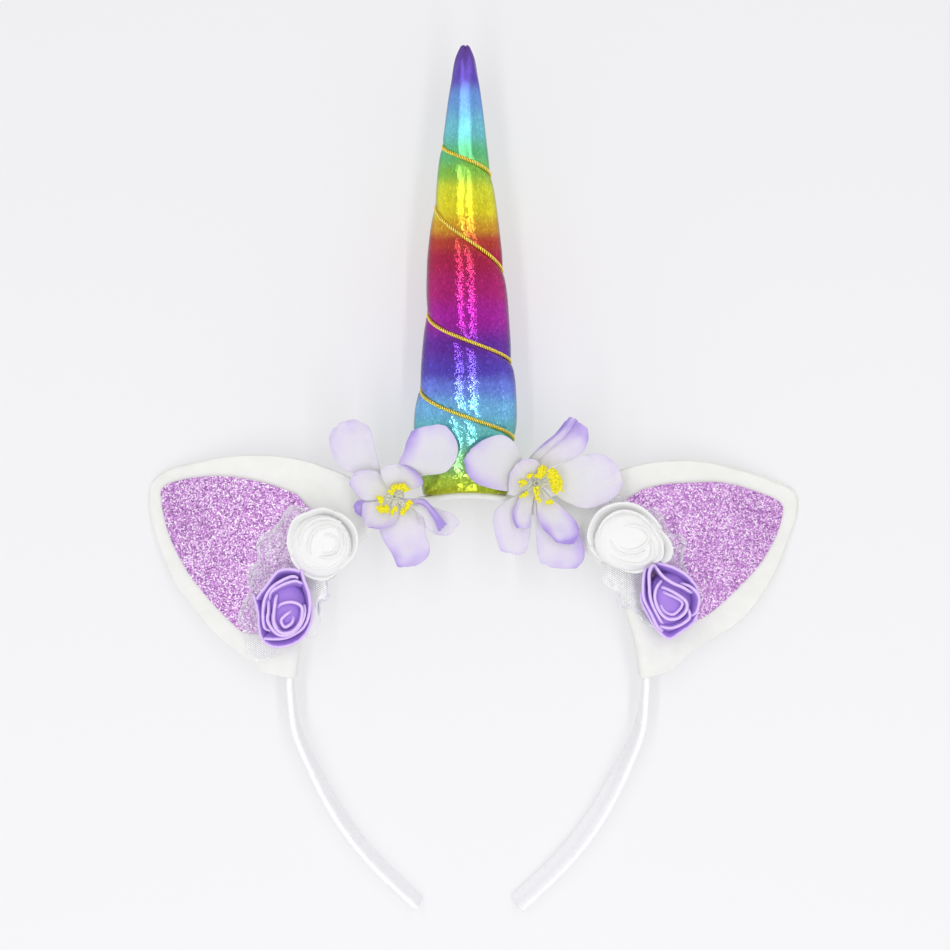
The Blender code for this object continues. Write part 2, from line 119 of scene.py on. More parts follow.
EAR_LEFT_EDGE = (
    # strip_deg, x, y
    (177.0, -68.0, 4.6),
    (172.0, -76.0, 11.0),
    (167.0, -83.8, 16.5),
    (162.0, -92.0, 25.0),
    (158.0, -99.0, 33.5),
    (154.5, -104.0, 43.5),
    (151.0, -108.0, 55.0),
    (148.0, -109.0, 64.0),
    (144.5, -107.3, 68.5),
    (141.0, -101.0, 72.3),
    (136.0, -90.5, 75.0),
    (131.0, -80.5, 77.0),
    (126.0, -68.0, 77.5),
    (121.0, -56.5, 76.3),
    (116.0, -46.5, 73.4),
    (111.0, -38.0, 70.0),
)
EAR_RIGHT_EDGE = (
    # strip_deg, x, y
    (3.0, 68.0, 5.4),
    (8.0, 75.0, 12.0),
    (13.0, 83.0, 16.4),
    (18.5, 90.5, 20.8),
    (23.0, 97.0, 26.8),
    (27.5, 104.5, 38.0),
    (31.0, 109.3, 49.0),
    (34.0, 112.4, 57.2),
    (37.0, 111.6, 64.2),
    (41.0, 103.8, 68.2),
    (45.5, 96.0, 71.0),
    (50.0, 85.5, 74.0),
    (55.0, 75.0, 75.7),
    (60.0, 63.5, 75.4),
    (65.0, 51.8, 73.1),
    (70.0, 42.0, 69.4),
)
PANEL_LEFT_EDGE = (
    # strip_deg, x, y
    (166.0, -75.2, 18.5),
    (163.5, -80.4, 22.8),
    (161.0, -87.1, 29.4),
    (158.0, -93.8, 37.1),
    (155.0, -99.2, 45.8),
    (152.5, -102.4, 53.5),
    (150.5, -104.2, 61.4),
    (148.5, -103.8, 66.0),
    (145.0, -97.1, 68.8),
    (142.0, -87.5, 70.2),
    (139.0, -79.0, 70.2),
    (136.0, -68.0, 68.5),
    (133.0, -57.4, 65.0),
)
PANEL_RIGHT_EDGE = (
    # strip_deg, x, y
    (14.0, 74.0, 21.0),
    (16.5, 82.8, 26.1),
    (20.0, 91.0, 33.1),
    (24.0, 98.5, 40.4),
    (28.0, 103.8, 48.5),
    (31.0, 106.4, 55.0),
    (33.5, 106.4, 60.8),
    (37.0, 97.0, 65.2),
    (40.5, 86.0, 68.2),
    (44.0, 76.0, 68.5),
    (47.5, 66.6, 68.2),
    (51.0, 58.6, 66.6),
)


def read_table(rows, at, column=1):
    """The table's value at that key, on a smooth curve through its rows."""
    if at <= rows[0][0]:
        return rows[0][column]
    if at >= rows[-1][0]:
        return rows[-1][column]
    i = max(k for k in range(len(rows) - 1) if rows[k][0] <= at)
    x0, x1 = rows[i][0], rows[i + 1][0]
    y0, y1 = rows[i][column], rows[i + 1][column]
    rise = (y1 - y0) / (x1 - x0)
    before = rise if i == 0 else (y1 - rows[i - 1][column]) / (x1 - rows[i - 1][0])
    after = rise if i + 2 >= len(rows) else (rows[i + 2][column] - y0) / (rows[i + 2][0] - x0)
    t = (at - x0) / (x1 - x0)
    return (
        (2 * t**3 - 3 * t**2 + 1) * y0
        + (t**3 - 2 * t**2 + t) * before * (x1 - x0)
        + (3 * t**2 - 2 * t**3) * y1
        + (t**3 - t**2) * after * (x1 - x0)
    )


def fine_edge(rows, steps):
    """An ear outline's rows, taken more closely on the smooth curve through them."""
    order = [(k, row[0], row[1], row[2]) for k, row in enumerate(rows)]
    last = len(rows) - 1
    out = []
    for s in range(steps + 1):
        t = last * s / steps
        out.append(tuple(read_table(order, t, column) for column in (1, 2, 3)))
    return out


def hoop_point(degrees):
    a = math.radians(degrees)
    return Vector((HOOP_HALF_WIDTH * math.cos(a), HOOP_RISE * math.sin(a), 0.0))


def hoop_outward(degrees):
    a = math.radians(degrees)
    return Vector((math.cos(a) / HOOP_HALF_WIDTH, math.sin(a) / HOOP_RISE, 0.0)).normalized()


def beyond_strip(x, y):
    return max(0.0, (math.hypot(x / HOOP_HALF_WIDTH, y / HOOP_RISE) - 1.0) * 62.0)


def ear_sag(x, y):
    droop = EAR_DROOP_LEFT if x < 0 else EAR_DROOP_RIGHT
    return droop * (beyond_strip(x, y) / EAR_REACH) ** EAR_DROOP_POWER


def smooth(t):
    t = min(1.0, max(0.0, t))
    return t * t * (3 - 2 * t)


def wave(x, y, z, seed=0.0):
    """Smooth noise, about -1 to 1."""
    return noise.noise(Vector((x + 17.3 * seed, y - 9.1 * seed, z + 5.7 * seed)))


# ---------------------------------------------------------------- meshes
def make_mesh(name, points, faces, values=None, uvs=None, smooth_shade=True, finish=None, local=True):
    """A mesh object from headband-frame millimetres. values: {attribute: one number a point}. uvs: one pair a point."""
    mesh = bpy.data.meshes.new(name)
    co = to_world(points) if local else np.asarray(points, float)
    mesh.from_pydata(co.tolist(), [], faces)
    for key, data in (values or {}).items():
        layer = mesh.attributes.new(key, "FLOAT", "POINT")
        layer.data.foreach_set("value", np.asarray(data, np.float32).ravel())
    if uvs is not None:
        layer = mesh.uv_layers.new(name="UVMap")
        index = np.empty(len(mesh.loops), np.int32)
        mesh.loops.foreach_get("vertex_index", index)
        layer.data.foreach_set("uv", np.asarray(uvs, np.float32)[index].ravel())
    if smooth_shade:
        mesh.shade_smooth()
    obj = bpy.data.objects.new(name, mesh)
    scene.collection.objects.link(obj)
    if finish:
        mesh.materials.append(finish)
    return obj


def grid_faces(rows, columns, closed=False, first=0):
    faces = []
    for r in range(rows - 1):
        for k in range(columns if closed else columns - 1):
            j = (k + 1) % columns
            faces.append((first + r * columns + k, first + r * columns + j, first + (r + 1) * columns + j, first + (r + 1) * columns + k))
    return faces


def outward(obj):
    bm = bmesh.new()
    bm.from_mesh(obj.data)
    bmesh.ops.recalc_face_normals(bm, faces=bm.faces)
    bm.to_mesh(obj.data)
    bm.free()
    return obj


def apply_all(obj):
    """Its modifiers' result becomes its mesh."""
    graph = bpy.context.evaluated_depsgraph_get()
    graph.update()
    done = bpy.data.meshes.new_from_object(obj.evaluated_get(graph))
    old = obj.data
    obj.modifiers.clear()
    obj.data = done
    bpy.data.meshes.remove(old)
    return obj


def thicken(obj, millimetres, offset=0.0, subdivide=0):
    m = obj.modifiers.new("thickness", "SOLIDIFY")
    m.thickness = millimetres * MM
    m.offset = offset
    m.use_even_offset = False
    if subdivide:
        s = obj.modifiers.new("smooth", "SUBSURF")
        s.levels = s.render_levels = subdivide
    return apply_all(obj)


class Heap:
    """Collects many small grids and tubes into one mesh."""

    def __init__(self):
        self.points, self.faces, self.values, self.uvs = [], [], {}, []

    def add(self, points, faces, uvs=None, **values):
        first = len(self.points)
        self.points += [tuple(p) for p in points]
        self.faces += [tuple(first + k for k in f) for f in faces]
        self.uvs += list(uvs) if uvs is not None else [(0.0, 0.0)] * len(points)
        for key, data in values.items():
            column = self.values.setdefault(key, [0.0] * first)
            column += list(data) if hasattr(data, "__len__") else [data] * len(points)
        for key, column in self.values.items():
            if len(column) < len(self.points):
                column += [0.0] * (len(self.points) - len(column))

    def mesh(self, name, finish=None, smooth_shade=True):
        return make_mesh(name, self.points, self.faces, self.values, self.uvs, smooth_shade, finish)


def tube_points(path, radius, sides, phase=0.0, cap=True):
    """Rings round a path of points (mm); radius may be one number or one a point. Returns points and faces, ends closed."""
    path = [Vector(p) for p in path]
    n = len(path)
    radii = radius if hasattr(radius, "__len__") else [radius] * n
    points, faces = [], []
    normal = None
    for k, p in enumerate(path):
        t = (path[min(n - 1, k + 1)] - path[max(0, k - 1)]).normalized()
        if normal is None:
            normal = t.orthogonal().normalized()
        normal = (normal - t * normal.dot(t)).normalized()
        side = t.cross(normal)
        for s in range(sides):
            a = 2 * math.pi * s / sides + phase
            points.append(p + (normal * math.cos(a) + side * math.sin(a)) * radii[k])
    faces = grid_faces(n, sides, closed=True)
    if cap:
        faces.append(tuple(range(sides))[::-1])
        faces.append(tuple((n - 1) * sides + s for s in range(sides)))
    return points, faces


# ---------------------------------------------------------------- materials
def node(m, kind, *links, **settings):
    """A node; settings that name a property set it. links are (input, value or socket)."""
    made = m.node_tree.nodes.new(kind)
    for key, value in settings.items():
        setattr(made, key, value)
    for key, value in links:
        socket = made.inputs[key]
        if isinstance(value, bpy.types.NodeSocket):
            m.node_tree.links.new(value, socket)
        else:
            socket.default_value = value
    return made


def new_material(name, roughness=0.5, metallic=0.0, **more):
    m = bpy.data.materials.new(name)
    m.use_nodes = True
    shader = m.node_tree.nodes["Principled BSDF"]
    shader.inputs["Roughness"].default_value = roughness
    shader.inputs["Metallic"].default_value = metallic
    for key, value in more.items():
        shader.inputs[key.replace("_", " ")].default_value = value
    return m, shader


def link(m, out, into):
    m.node_tree.links.new(out, into)


def object_coords(m, scale=(1000.0, 1000.0, 1000.0)):
    """Row-frame position, in millimetres."""
    at = node(m, "ShaderNodeTexCoord").outputs["Object"]
    return node(m, "ShaderNodeMapping", ("Vector", at), ("Scale", scale)).outputs["Vector"]


def attribute(m, name):
    return node(m, "ShaderNodeAttribute", attribute_name=name).outputs["Fac"]


def math_node(m, operation, a, b=0.0, clamp=False):
    return node(m, "ShaderNodeMath", (0, a), (1, b), operation=operation, use_clamp=clamp).outputs[0]


def ramp(m, factor, stops, interpolation="LINEAR"):
    """stops: (position, colour) with colour (r, g, b)."""
    made = node(m, "ShaderNodeValToRGB", ("Fac", factor))
    band = made.color_ramp
    band.interpolation = interpolation
    while len(band.elements) > 1:
        band.elements.remove(band.elements[-1])
    band.elements[0].position = stops[0][0]
    band.elements[0].color = (*stops[0][1], 1.0)
    for position, colour in stops[1:]:
        band.elements.new(position).color = (*colour, 1.0)
    return made.outputs["Color"]


def mix(m, factor, a, b, blend="MIX"):
    made = node(m, "ShaderNodeMix", data_type="RGBA", blend_type=blend)
    for index, value in ((0, factor), (6, a), (7, b)):
        if isinstance(value, bpy.types.NodeSocket):
            m.node_tree.links.new(value, made.inputs[index])
        else:
            made.inputs[index].default_value = value if index == 0 else (*value, 1.0)
    return made.outputs[2]


def noise_tex(m, coords, scale, detail=3.0, roughness=0.55, distortion=0.0):
    return node(
        m,
        "ShaderNodeTexNoise",
        ("Vector", coords),
        ("Scale", scale),
        ("Detail", detail),
        ("Roughness", roughness),
        ("Distortion", distortion),
    ).outputs["Fac"]


def bump(m, height, strength, distance_mm, normal=None):
    made = node(m, "ShaderNodeBump", ("Strength", strength), ("Distance", distance_mm * MM), ("Height", height))
    if normal is not None:
        link(m, normal, made.inputs["Normal"])
    return made.outputs["Normal"]


def srgb(text):
    """#rrggbb as linear colour."""
    parts = [int(text[i : i + 2], 16) / 255.0 for i in (1, 3, 5)]
    return tuple(c / 12.92 if c <= 0.04045 else ((c + 0.055) / 1.055) ** 2.4 for c in parts)


# ---------------------------------------------------------------- camera, floor, light
camera_data = bpy.data.cameras.new("camera")
camera_data.lens = 71.75
camera_data.sensor_width = 36.0
camera = bpy.data.objects.new("camera", camera_data)
scene.collection.objects.link(camera)
camera.location = (0.0007, 0.00374, 0.650)
camera.rotation_euler = (0.0, 0.0, 0.0)
scene.camera = camera
scene.view_settings.view_transform = "Standard"
EYE = np.array([0.7, 3.74, 650.0])

floor_mesh = bpy.data.meshes.new("floor")
floor_mesh.from_pydata([(-2.5, -2.5, 0), (2.5, -2.5, 0), (2.5, 2.5, 0), (-2.5, 2.5, 0)], [], [(0, 1, 2, 3)])
floor = bpy.data.objects.new("floor", floor_mesh)
scene.collection.objects.link(floor)
# A white sheet that glows a little, painted light with no lamp behind it, so that shadows on it stay pale; the glow is
# a little brighter towards -y, the bottom of the view.
floor_finish, floor_shader = new_material("floor_paper", roughness=0.9, Base_Color=(0.42, 0.4175, 0.425, 1.0), Emission_Strength=1.0)
floor_y = node(floor_finish, "ShaderNodeSeparateXYZ", (0, object_coords(floor_finish))).outputs["Y"]
# Painted glow: stronger towards -y, weaker towards +y.
floor_glow_share = math_node(floor_finish, "DIVIDE", math_node(floor_finish, "ADD", floor_y, 160.0), 320.0, clamp=True)
link(floor_finish, ramp(floor_finish, floor_glow_share, ((0.0, (0.455, 0.452, 0.460)), (1.0, (0.400, 0.398, 0.405)))), floor_shader.inputs["Emission Color"])
floor_mesh.materials.append(floor_finish)


def area_light(name, x, y, z, wide, long, watts, colour=(1.0, 1.0, 1.0)):
    data = bpy.data.lights.new(name, "AREA")
    data.shape = "RECTANGLE"
    data.size, data.size_y = wide, long
    data.energy = watts
    data.color = colour
    lamp = bpy.data.objects.new(name, data)
    scene.collection.objects.link(lamp)
    lamp.location = (x, y, z)
    lamp.rotation_euler = Vector((x, y, z)).to_track_quat("Z", "Y").to_euler()
    return lamp


for side in (-1, 1):
    lamp = area_light(f"strip_{side}", 0.0, -0.16, 1.1, 0.022, 1.7, 3.9)
    lamp.location.x = 0.318 * side + 0.006
    lamp.rotation_euler = (0.0, math.radians(16.0 * side), 0.0)

world = bpy.data.worlds.new("studio")
scene.world = world
world.use_nodes = True
sky = world.node_tree.nodes["Background"]
way = world.node_tree.nodes.new("ShaderNodeTexCoord")
split = world.node_tree.nodes.new("ShaderNodeSeparateXYZ")
shade = world.node_tree.nodes.new("ShaderNodeValToRGB")
world.node_tree.links.new(way.outputs["Generated"], split.inputs[0])
world.node_tree.links.new(split.outputs["Z"], shade.inputs["Fac"])
world.node_tree.links.new(shade.outputs["Color"], sky.inputs["Color"])
shade.color_ramp.elements[0].position = 0.0
shade.color_ramp.elements[0].color = (1.0, 0.995, 1.01, 1.0)
shade.color_ramp.elements[1].position = 0.85
shade.color_ramp.elements[1].color = (0.86, 0.855, 0.875, 1.0)
sky.inputs["Strength"].default_value = 0.78


# ---------------------------------------------------------------- curves through tables
def along_smooth(points, count, closed=False):
    """count points, evenly spread, on a smooth curve through those points."""
    p = np.asarray(points, float)
    if closed:
        p = np.vstack([p, p[:1]])
    step = np.linalg.norm(np.diff(p, axis=0), axis=1)
    key = np.concatenate([[0.0], np.cumsum(np.sqrt(np.maximum(step, 1e-9)))])
    n = len(p)
    slope = np.empty_like(p)
    for k in range(n):
        a, b = (k - 1, k + 1)
        if closed and k in (0, n - 1):
            slope[k] = (p[1] - p[n - 2]) / ((key[1] - key[0]) + (key[n - 1] - key[n - 2]))
            continue
        a, b = max(a, 0), min(b, n - 1)
        slope[k] = (p[b] - p[a]) / (key[b] - key[a])
    fine = []
    for k in range(n - 1):
        h = key[k + 1] - key[k]
        for s in range(12):
            t = s / 12.0
            fine.append(
                (2 * t**3 - 3 * t**2 + 1) * p[k]
                + (t**3 - 2 * t**2 + t) * h * slope[k]
                + (3 * t**2 - 2 * t**3) * p[k + 1]
                + (t**3 - t**2) * h * slope[k + 1]
            )
    fine.append(p[-1])
    fine = np.array(fine)
    run = np.concatenate([[0.0], np.cumsum(np.linalg.norm(np.diff(fine, axis=0), axis=1))])
    at = np.linspace(0.0, run[-1], count + 1)[:-1] if closed else np.linspace(0.0, run[-1], count)
    return np.stack([np.interp(at, run, fine[:, c]) for c in range(p.shape[1])], axis=1)


def lift_from(x, y, taken, height):
    """The point at that height which the eye sees where it sees (x, y) at the height taken."""
    start = to_world(np.array([x, y, taken])) / MM
    toward = start - EYE
    end = start + toward * ((height - taken) / (TC * toward[2] - TS * toward[1]))
    lx = end[0] - REST_X
    dy, dz = end[1] - REST_Y, end[2] - REST_Z
    return lx, dy * TC + dz * TS, -dy * TS + dz * TC


# ---------------------------------------------------------------- band
def band_route(step=1.6):
    """Points and wring (degrees) from the left tip over the top to the right tip, evenly spaced."""
    last = ARM_SECTIONS[-1][0]
    rows = [(-read_table(ARM_SECTIONS, d), -d, -TWIST_LEFT_DEG * min(1.0, d / TWIST_RUN)) for d in np.linspace(last, 0.0, 60)[:-1]]
    rows += [(*hoop_point(a)[:2], 0.0) for a in np.linspace(180.0, 0.0, 160)]
    rows += [(read_table(ARM_SECTIONS, d), -d, -TWIST_RIGHT_DEG * min(1.0, d / TWIST_RUN)) for d in np.linspace(0.0, last, 60)[1:]]
    rows = np.array(rows)
    run = np.concatenate([[0.0], np.cumsum(np.linalg.norm(np.diff(rows[:, :2], axis=0), axis=1))])
    at = np.linspace(0.0, run[-1], int(run[-1] / step) + 1)
    return np.stack([np.interp(at, run, rows[:, c]) for c in range(3)], axis=1), at


def make_band():
    route, at = band_route()
    # Soften where the wring starts.
    kernel = np.ones(9) / 9.0
    wring = np.convolve(np.pad(route[:, 2], 4, mode="edge"), kernel, mode="valid")
    half_w, half_t, corner = STRIP_WIDTH / 2, STRIP_THICK / 2, 0.95
    profile = []
    for cx, cy, start in ((half_w - corner, half_t - corner, 0), (-(half_w - corner), half_t - corner, 90), (-(half_w - corner), -(half_t - corner), 180), (half_w - corner, -(half_t - corner), 270)):
        for k in range(5):
            a = math.radians(start + 22.5 * k)
            profile.append((cx + corner * math.cos(a), cy + corner * math.sin(a)))
    full = []
    for k, p in enumerate(profile):
        q = profile[(k + 1) % len(profile)]
        full.append(p)
        if math.dist(p, q) > 1.5:
            for s in range(1, 12):
                full.append((p[0] + (q[0] - p[0]) * s / 12, p[1] + (q[1] - p[1]) * s / 12))
    sides = len(full)
    round_trip = np.concatenate([[0.0], np.cumsum([math.dist(full[k], full[(k + 1) % sides]) for k in range(sides)])])
    points, uvs, seam = [], [], []
    n = len(route)
    ends = ((0, 0.35, 0.5), (0, 0.8, 0.16), (0, 1.0, 0.0))

    def ring(k, shrink, back):
        tangent = route[min(n - 1, k + 1), :2] - route[max(0, k - 1), :2]
        tangent = tangent / np.linalg.norm(tangent)
        out = Vector((-tangent[1], tangent[0], 0.0))
        w = math.radians(-wring[k])
        wide = Vector((0, 0, 1)) * math.cos(w) + out * math.sin(w)
        thin = out * math.cos(w) - Vector((0, 0, 1)) * math.sin(w)
        foot = Vector((*route[k, :2], 0.0)) + Vector((*tangent, 0.0)) * back
        for j, (a, b) in enumerate(full):
            ridge = 0.0
            if b < -half_t + 0.05:
                ridge = 0.14 / (1.0 + math.exp(-(a - 0.9 - 0.25 * wave(at[k] * 0.05, 0, 0, 3)) * 5.0)) * (1.0 if a < 3.4 else 0.0)
            swell = 0.05 * wave(at[k] * 0.12, a * 0.4, b * 0.5, 1) + 0.035 * wave(at[k] * 0.5, a * 0.8, b, 2)
            edge_a = a * shrink if shrink < 1 else a
            p = foot + wide * edge_a + thin * ((b - ridge if b < 0 else b) * (shrink if shrink < 1 else 1.0) + math.copysign(swell, b))
            points.append(tuple(p))
            uvs.append((round_trip[j], at[k] + back))

    ring(0, 0.30, 0.0)
    ring(0, 0.86, 0.0)
    ring(0, 0.97, 0.18)
    for k in range(1, n - 1):
        ring(k, 1.0, 0.0)
    ring(n - 1, 0.97, -0.18)
    ring(n - 1, 0.86, 0.0)
    ring(n - 1, 0.30, 0.0)
    rings = n + 4
    faces = grid_faces(rings, sides, closed=True)
    faces.append(tuple(range(sides))[::-1])
    faces.append(tuple((rings - 1) * sides + k for k in range(sides)))

    m, shader = new_material("ribbon_satin", roughness=0.36, Sheen_Weight=0.35, Sheen_Roughness=0.35, Specular_IOR_Level=0.6)
    uv = node(m, "ShaderNodeTexCoord").outputs["UV"]
    weft = node(m, "ShaderNodeMapping", ("Vector", uv), ("Scale", (3.2, 16.0, 1.0)), ("Rotation", (0, 0, 0.16))).outputs["Vector"]
    threads = node(m, "ShaderNodeTexWave", ("Vector", weft), ("Scale", 0.33), ("Distortion", 0.6), ("Detail", 1.0), wave_type="BANDS", bands_direction="Y").outputs["Fac"]
    slub = noise_tex(m, node(m, "ShaderNodeMapping", ("Vector", uv), ("Scale", (0.35, 3.0, 1.0))).outputs["Vector"], 1.0, 4.0)
    both = math_node(m, "ADD", math_node(m, "MULTIPLY", threads, 0.5), slub)
    link(m, bump(m, both, 0.28, 0.10), shader.inputs["Normal"])
    link(m, ramp(m, slub, ((0.3, srgb("#f0f0f3")), (0.55, srgb("#f6f6f8")), (0.8, srgb("#fbfbfc")))), shader.inputs["Base Color"])
    obj = outward(make_mesh("band_ribbon", points, faces, uvs=uvs, finish=m))
    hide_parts("band")
    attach(obj, "root")
    return obj


# ---------------------------------------------------------------- horn
GROOVE_DEPTH_FOOT = 1.15
GROOVE_DEPTH_TIP = 0.35
HORN_TOP = HORN_SECTIONS[-1][0]
RAINBOW = (
    # height, colour
    (0.0, "#a9b12a"),
    (3.5, "#a8c43c"),
    (10.0, "#86bf7c"),
    (19.0, "#6cc0bc"),
    (28.0, "#72b4e2"),
    (34.5, "#6c80de"),
    (40.0, "#5844b4"),
    (48.0, "#65309c"),
    (58.0, "#a6249a"),
    (67.0, "#ad2470"),
    (76.0, "#a8264a"),
    (82.0, "#b54236"),
    (87.0, "#cf9a2c"),
    (93.0, "#e0d62a"),
    (98.5, "#d8dc34"),
    (105.0, "#86c24c"),
    (111.0, "#62be7e"),
    (119.0, "#72c4d2"),
    (129.0, "#6e9cde"),
    (136.0, "#664fb8"),
    (146.4, "#6a4a9c"),
)


HORN_LEFT_TRIM = (
    # height, how much less the left side stands out
    (0.0, 0.0),
    (20.0, 0.1),
    (28.0, 0.5),
    (36.0, 1.15),
    (48.0, 1.25),
    (58.0, 1.15),
    (66.0, 0.6),
    (76.0, 0.0),
    (110.0, -0.4),
    (125.0, -0.3),
    (146.4, 0.0),
)


def pinch_at(height, turn, reach):
    """0 to 1 nearness of the cord's line to that place, and the nearest lines above and below."""
    nearest, above, below = 99.0, None, None
    for k in range(-1, 5):
        if CORD_PASSES[0][0] <= turn + k <= CORD_PASSES[-1][0]:
            at = read_table(CORD_PASSES, turn + k)
            nearest = min(nearest, abs(height - at))
            if at >= height:
                above = at
            elif below is None:
                below = at
    return math.exp(-((nearest / reach) ** 2)), above, below


def cord_groove(height, turn):
    """How far the cord's own narrow groove sinks into the cover there."""
    return (0.74 - 0.34 * height / HORN_TOP) * pinch_at(height, turn, 1.3)[0]


def horn_radius(height, turn):
    share = height / HORN_TOP
    depth = GROOVE_DEPTH_FOOT + (GROOVE_DEPTH_TIP - GROOVE_DEPTH_FOOT) * share
    wide, above, below = pinch_at(height, turn, 3.8)
    puff = 0.0
    if above is not None and below is not None:
        # Fullest just under the cord above.
        puff = 0.46 * min(1.0, (above - below) / 24.0) * math.sin(math.pi * ((above - height) / (above - below)) ** 0.6)
    trim = read_table(HORN_LEFT_TRIM, height) * max(0.0, math.cos(2 * math.pi * turn)) ** 2
    return max(0.5, read_table(HORN_SECTIONS, height) - depth * 0.38 * wide + puff + 0.08 - trim)


def horn_place(height, turn, radius):
    a = 2 * math.pi * turn
    x = HORN_X - radius * math.cos(a)
    foot = (HOOP_RISE + STRIP_THICK / 2) * (1.0 - math.sqrt(max(0.0, 1.0 - (x / (HOOP_HALF_WIDTH + STRIP_THICK / 2)) ** 2)))
    settle = foot * max(0.0, 1.0 - height / 20.0)
    return (x, HORN_FOOT + height - settle, radius * math.sin(a))


def make_horn():
    sides, rings = 96, 176
    points, uvs, heights, turns = [], [], [], []
    foot = horn_radius(0.0, 0.0)
    rows = [(0.0, share) for share in (0.06, 0.3, 0.55, 0.8)] + [(HORN_TOP * (r / rings), 1.0) for r in range(rings + 1)]
    for height, share in rows:
        for k in range(sides):
            turn = k / sides
            radius = foot * share if share < 1 else horn_radius(height, turn)
            points.append(horn_place(height, turn, radius))
            uvs.append((turn * 2 * math.pi * 14.0, height))
            heights.append(height)
            turns.append(turn)
    faces = grid_faces(len(rows), sides, closed=True)
    faces.append(tuple(range(sides))[::-1])
    faces.append(tuple((len(rows) - 1) * sides + k for k in range(sides)))
    obj = outward(make_mesh("horn_foil_cover", points, faces, values={"height": heights, "turn": turns}, uvs=uvs))
    smooth_mod = obj.modifiers.new("smooth", "SUBSURF")
    smooth_mod.levels = smooth_mod.render_levels = 1
    apply_all(obj)
    mesh = obj.data
    n = len(mesh.vertices)
    co = np.empty(n * 3)
    mesh.vertices.foreach_get("co", co)
    co = co.reshape(-1, 3)
    normal = np.empty(n * 3)
    mesh.vertices.foreach_get("normal", normal)
    normal = normal.reshape(-1, 3)
    height = np.empty(n)
    mesh.attributes["height"].data.foreach_get("value", height)
    turn = np.empty(n)
    mesh.attributes["turn"].data.foreach_get("value", turn)
    for k in range(n):
        h, t = height[k], turn[k]
        a = 2 * math.pi * t
        near, above, below = pinch_at(h, t, 6.0)
        # Short gathers fan out from the cord; long soft ones stand at the foot; slack dimples elsewhere.
        gathers = 0.16 * near * wave(a * 3.2, h * 0.06, 0.0, 4) * (0.4 + abs(wave(a * 1.1, h * 0.1, 0, 5))) - cord_groove(h, t)
        foot_gathers = 0.55 * math.exp(-h / 9.0) * wave(a * 2.4, h * 0.03, 0.0, 6) if h > 0.2 else 0.0
        soft = 0.16 * wave(math.cos(a) * 1.3, h * 0.055, math.sin(a) * 1.3, 7) * smooth(h / 15) * smooth((HORN_TOP - h) / 25)
        tip = 0.35 * smooth((h - 132) / 12) * math.cos(5 * a + 1.0)
        crease = 0.0
        if h < 26.0:
            # A slack fold leans across the front of the foot.
            line = 3.6 + (t - 0.25) * 17.0
            crease = -0.75 * math.exp(-(((h - line) / 1.0) ** 2)) * math.exp(-(((t - 0.20) / 0.13) ** 2))
            crease += 0.35 * math.exp(-(((h - line - 2.2) / 1.6) ** 2)) * math.exp(-(((t - 0.20) / 0.13) ** 2))
        co[k] += normal[k] * MM * (gathers + foot_gathers + soft + tip + crease)
    # Pressed flat where it lies on the table.
    low = 0.0006
    co[:, 2] = np.where(co[:, 2] < 2 * low, low * np.exp(np.minimum(0.0, (co[:, 2] - 2 * low)) / (1.5 * low)) + 0.5 * low * (co[:, 2] >= 2 * low), co[:, 2])
    co[:, 2] = np.maximum(co[:, 2], 0.00002)
    mesh.vertices.foreach_set("co", co.ravel())
    mesh.update()

    m, shader = new_material("rainbow_foil", roughness=0.09, metallic=0.72, Specular_IOR_Level=0.6, Specular_Tint=(0.5, 0.5, 0.55, 1.0))
    tall = attribute(m, "height")
    at = object_coords(m)
    uv = node(m, "ShaderNodeTexCoord").outputs["UV"]
    drift = math_node(m, "MULTIPLY", math_node(m, "SUBTRACT", noise_tex(m, at, 0.09, 2.0), 0.5), 3.2)
    level = math_node(m, "DIVIDE", math_node(m, "ADD", tall, drift), HORN_TOP, clamp=True)
    colour = ramp(m, level, tuple((h / HORN_TOP, srgb(c)) for h, c in RAINBOW), "EASE")
    cells = node(m, "ShaderNodeTexVoronoi", ("Vector", node(m, "ShaderNodeMapping", ("Vector", uv), ("Scale", (2.3, 1.45, 1.0))).outputs["Vector"]), ("Scale", 1.0), voronoi_dimensions="2D")
    spark = node(m, "ShaderNodeSeparateColor", ("Color", cells.outputs["Color"]))
    # Each foil cell's tone varies at random, and most cells are lifted above full brightness, up to 1.7 for the
    # brightest: painted glints.
    fleck_tone_and_painted_glint = ramp(m, spark.outputs["Red"], ((0.0, (0.90, 0.90, 0.90)), (0.6, (1.10, 1.10, 1.10)), (0.93, (1.25, 1.25, 1.25)), (1.0, (1.7, 1.7, 1.7))))
    link(m, mix(m, 1.0, colour, fleck_tone_and_painted_glint, "MULTIPLY"), shader.inputs["Base Color"])
    ribs = node(m, "ShaderNodeTexWave", ("Vector", node(m, "ShaderNodeMapping", ("Vector", uv), ("Scale", (1.6, 0.5, 1.0))).outputs["Vector"]), ("Scale", 0.34), ("Distortion", 2.6), ("Detail", 2.0), ("Detail Scale", 1.6), wave_type="BANDS", bands_direction="X").outputs["Fac"]
    crinkle = noise_tex(m, node(m, "ShaderNodeMapping", ("Vector", uv), ("Scale", (2.1, 2.5, 1.0))).outputs["Vector"], 1.0, 2.0, 0.5)
    relief = math_node(m, "ADD", math_node(m, "MULTIPLY", ribs, 0.05), math_node(m, "MULTIPLY", crinkle, 1.0))
    first = bump(m, relief, 0.60, 0.085)
    tilt = node(m, "ShaderNodeVectorMath", (0, cells.outputs["Color"]), (1, (0.5, 0.5, 0.5)), operation="SUBTRACT").outputs[0]
    tilt = node(m, "ShaderNodeVectorMath", (0, tilt), operation="SCALE")
    tilt.inputs["Scale"].default_value = 0.135
    turned = node(m, "ShaderNodeVectorMath", (0, first), (1, tilt.outputs[0]), operation="ADD").outputs[0]
    link(m, node(m, "ShaderNodeVectorMath", (0, turned), operation="NORMALIZE").outputs[0], shader.inputs["Normal"])
    mesh.materials.append(m)
    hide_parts("horn")
    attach(obj, "root")
    return obj


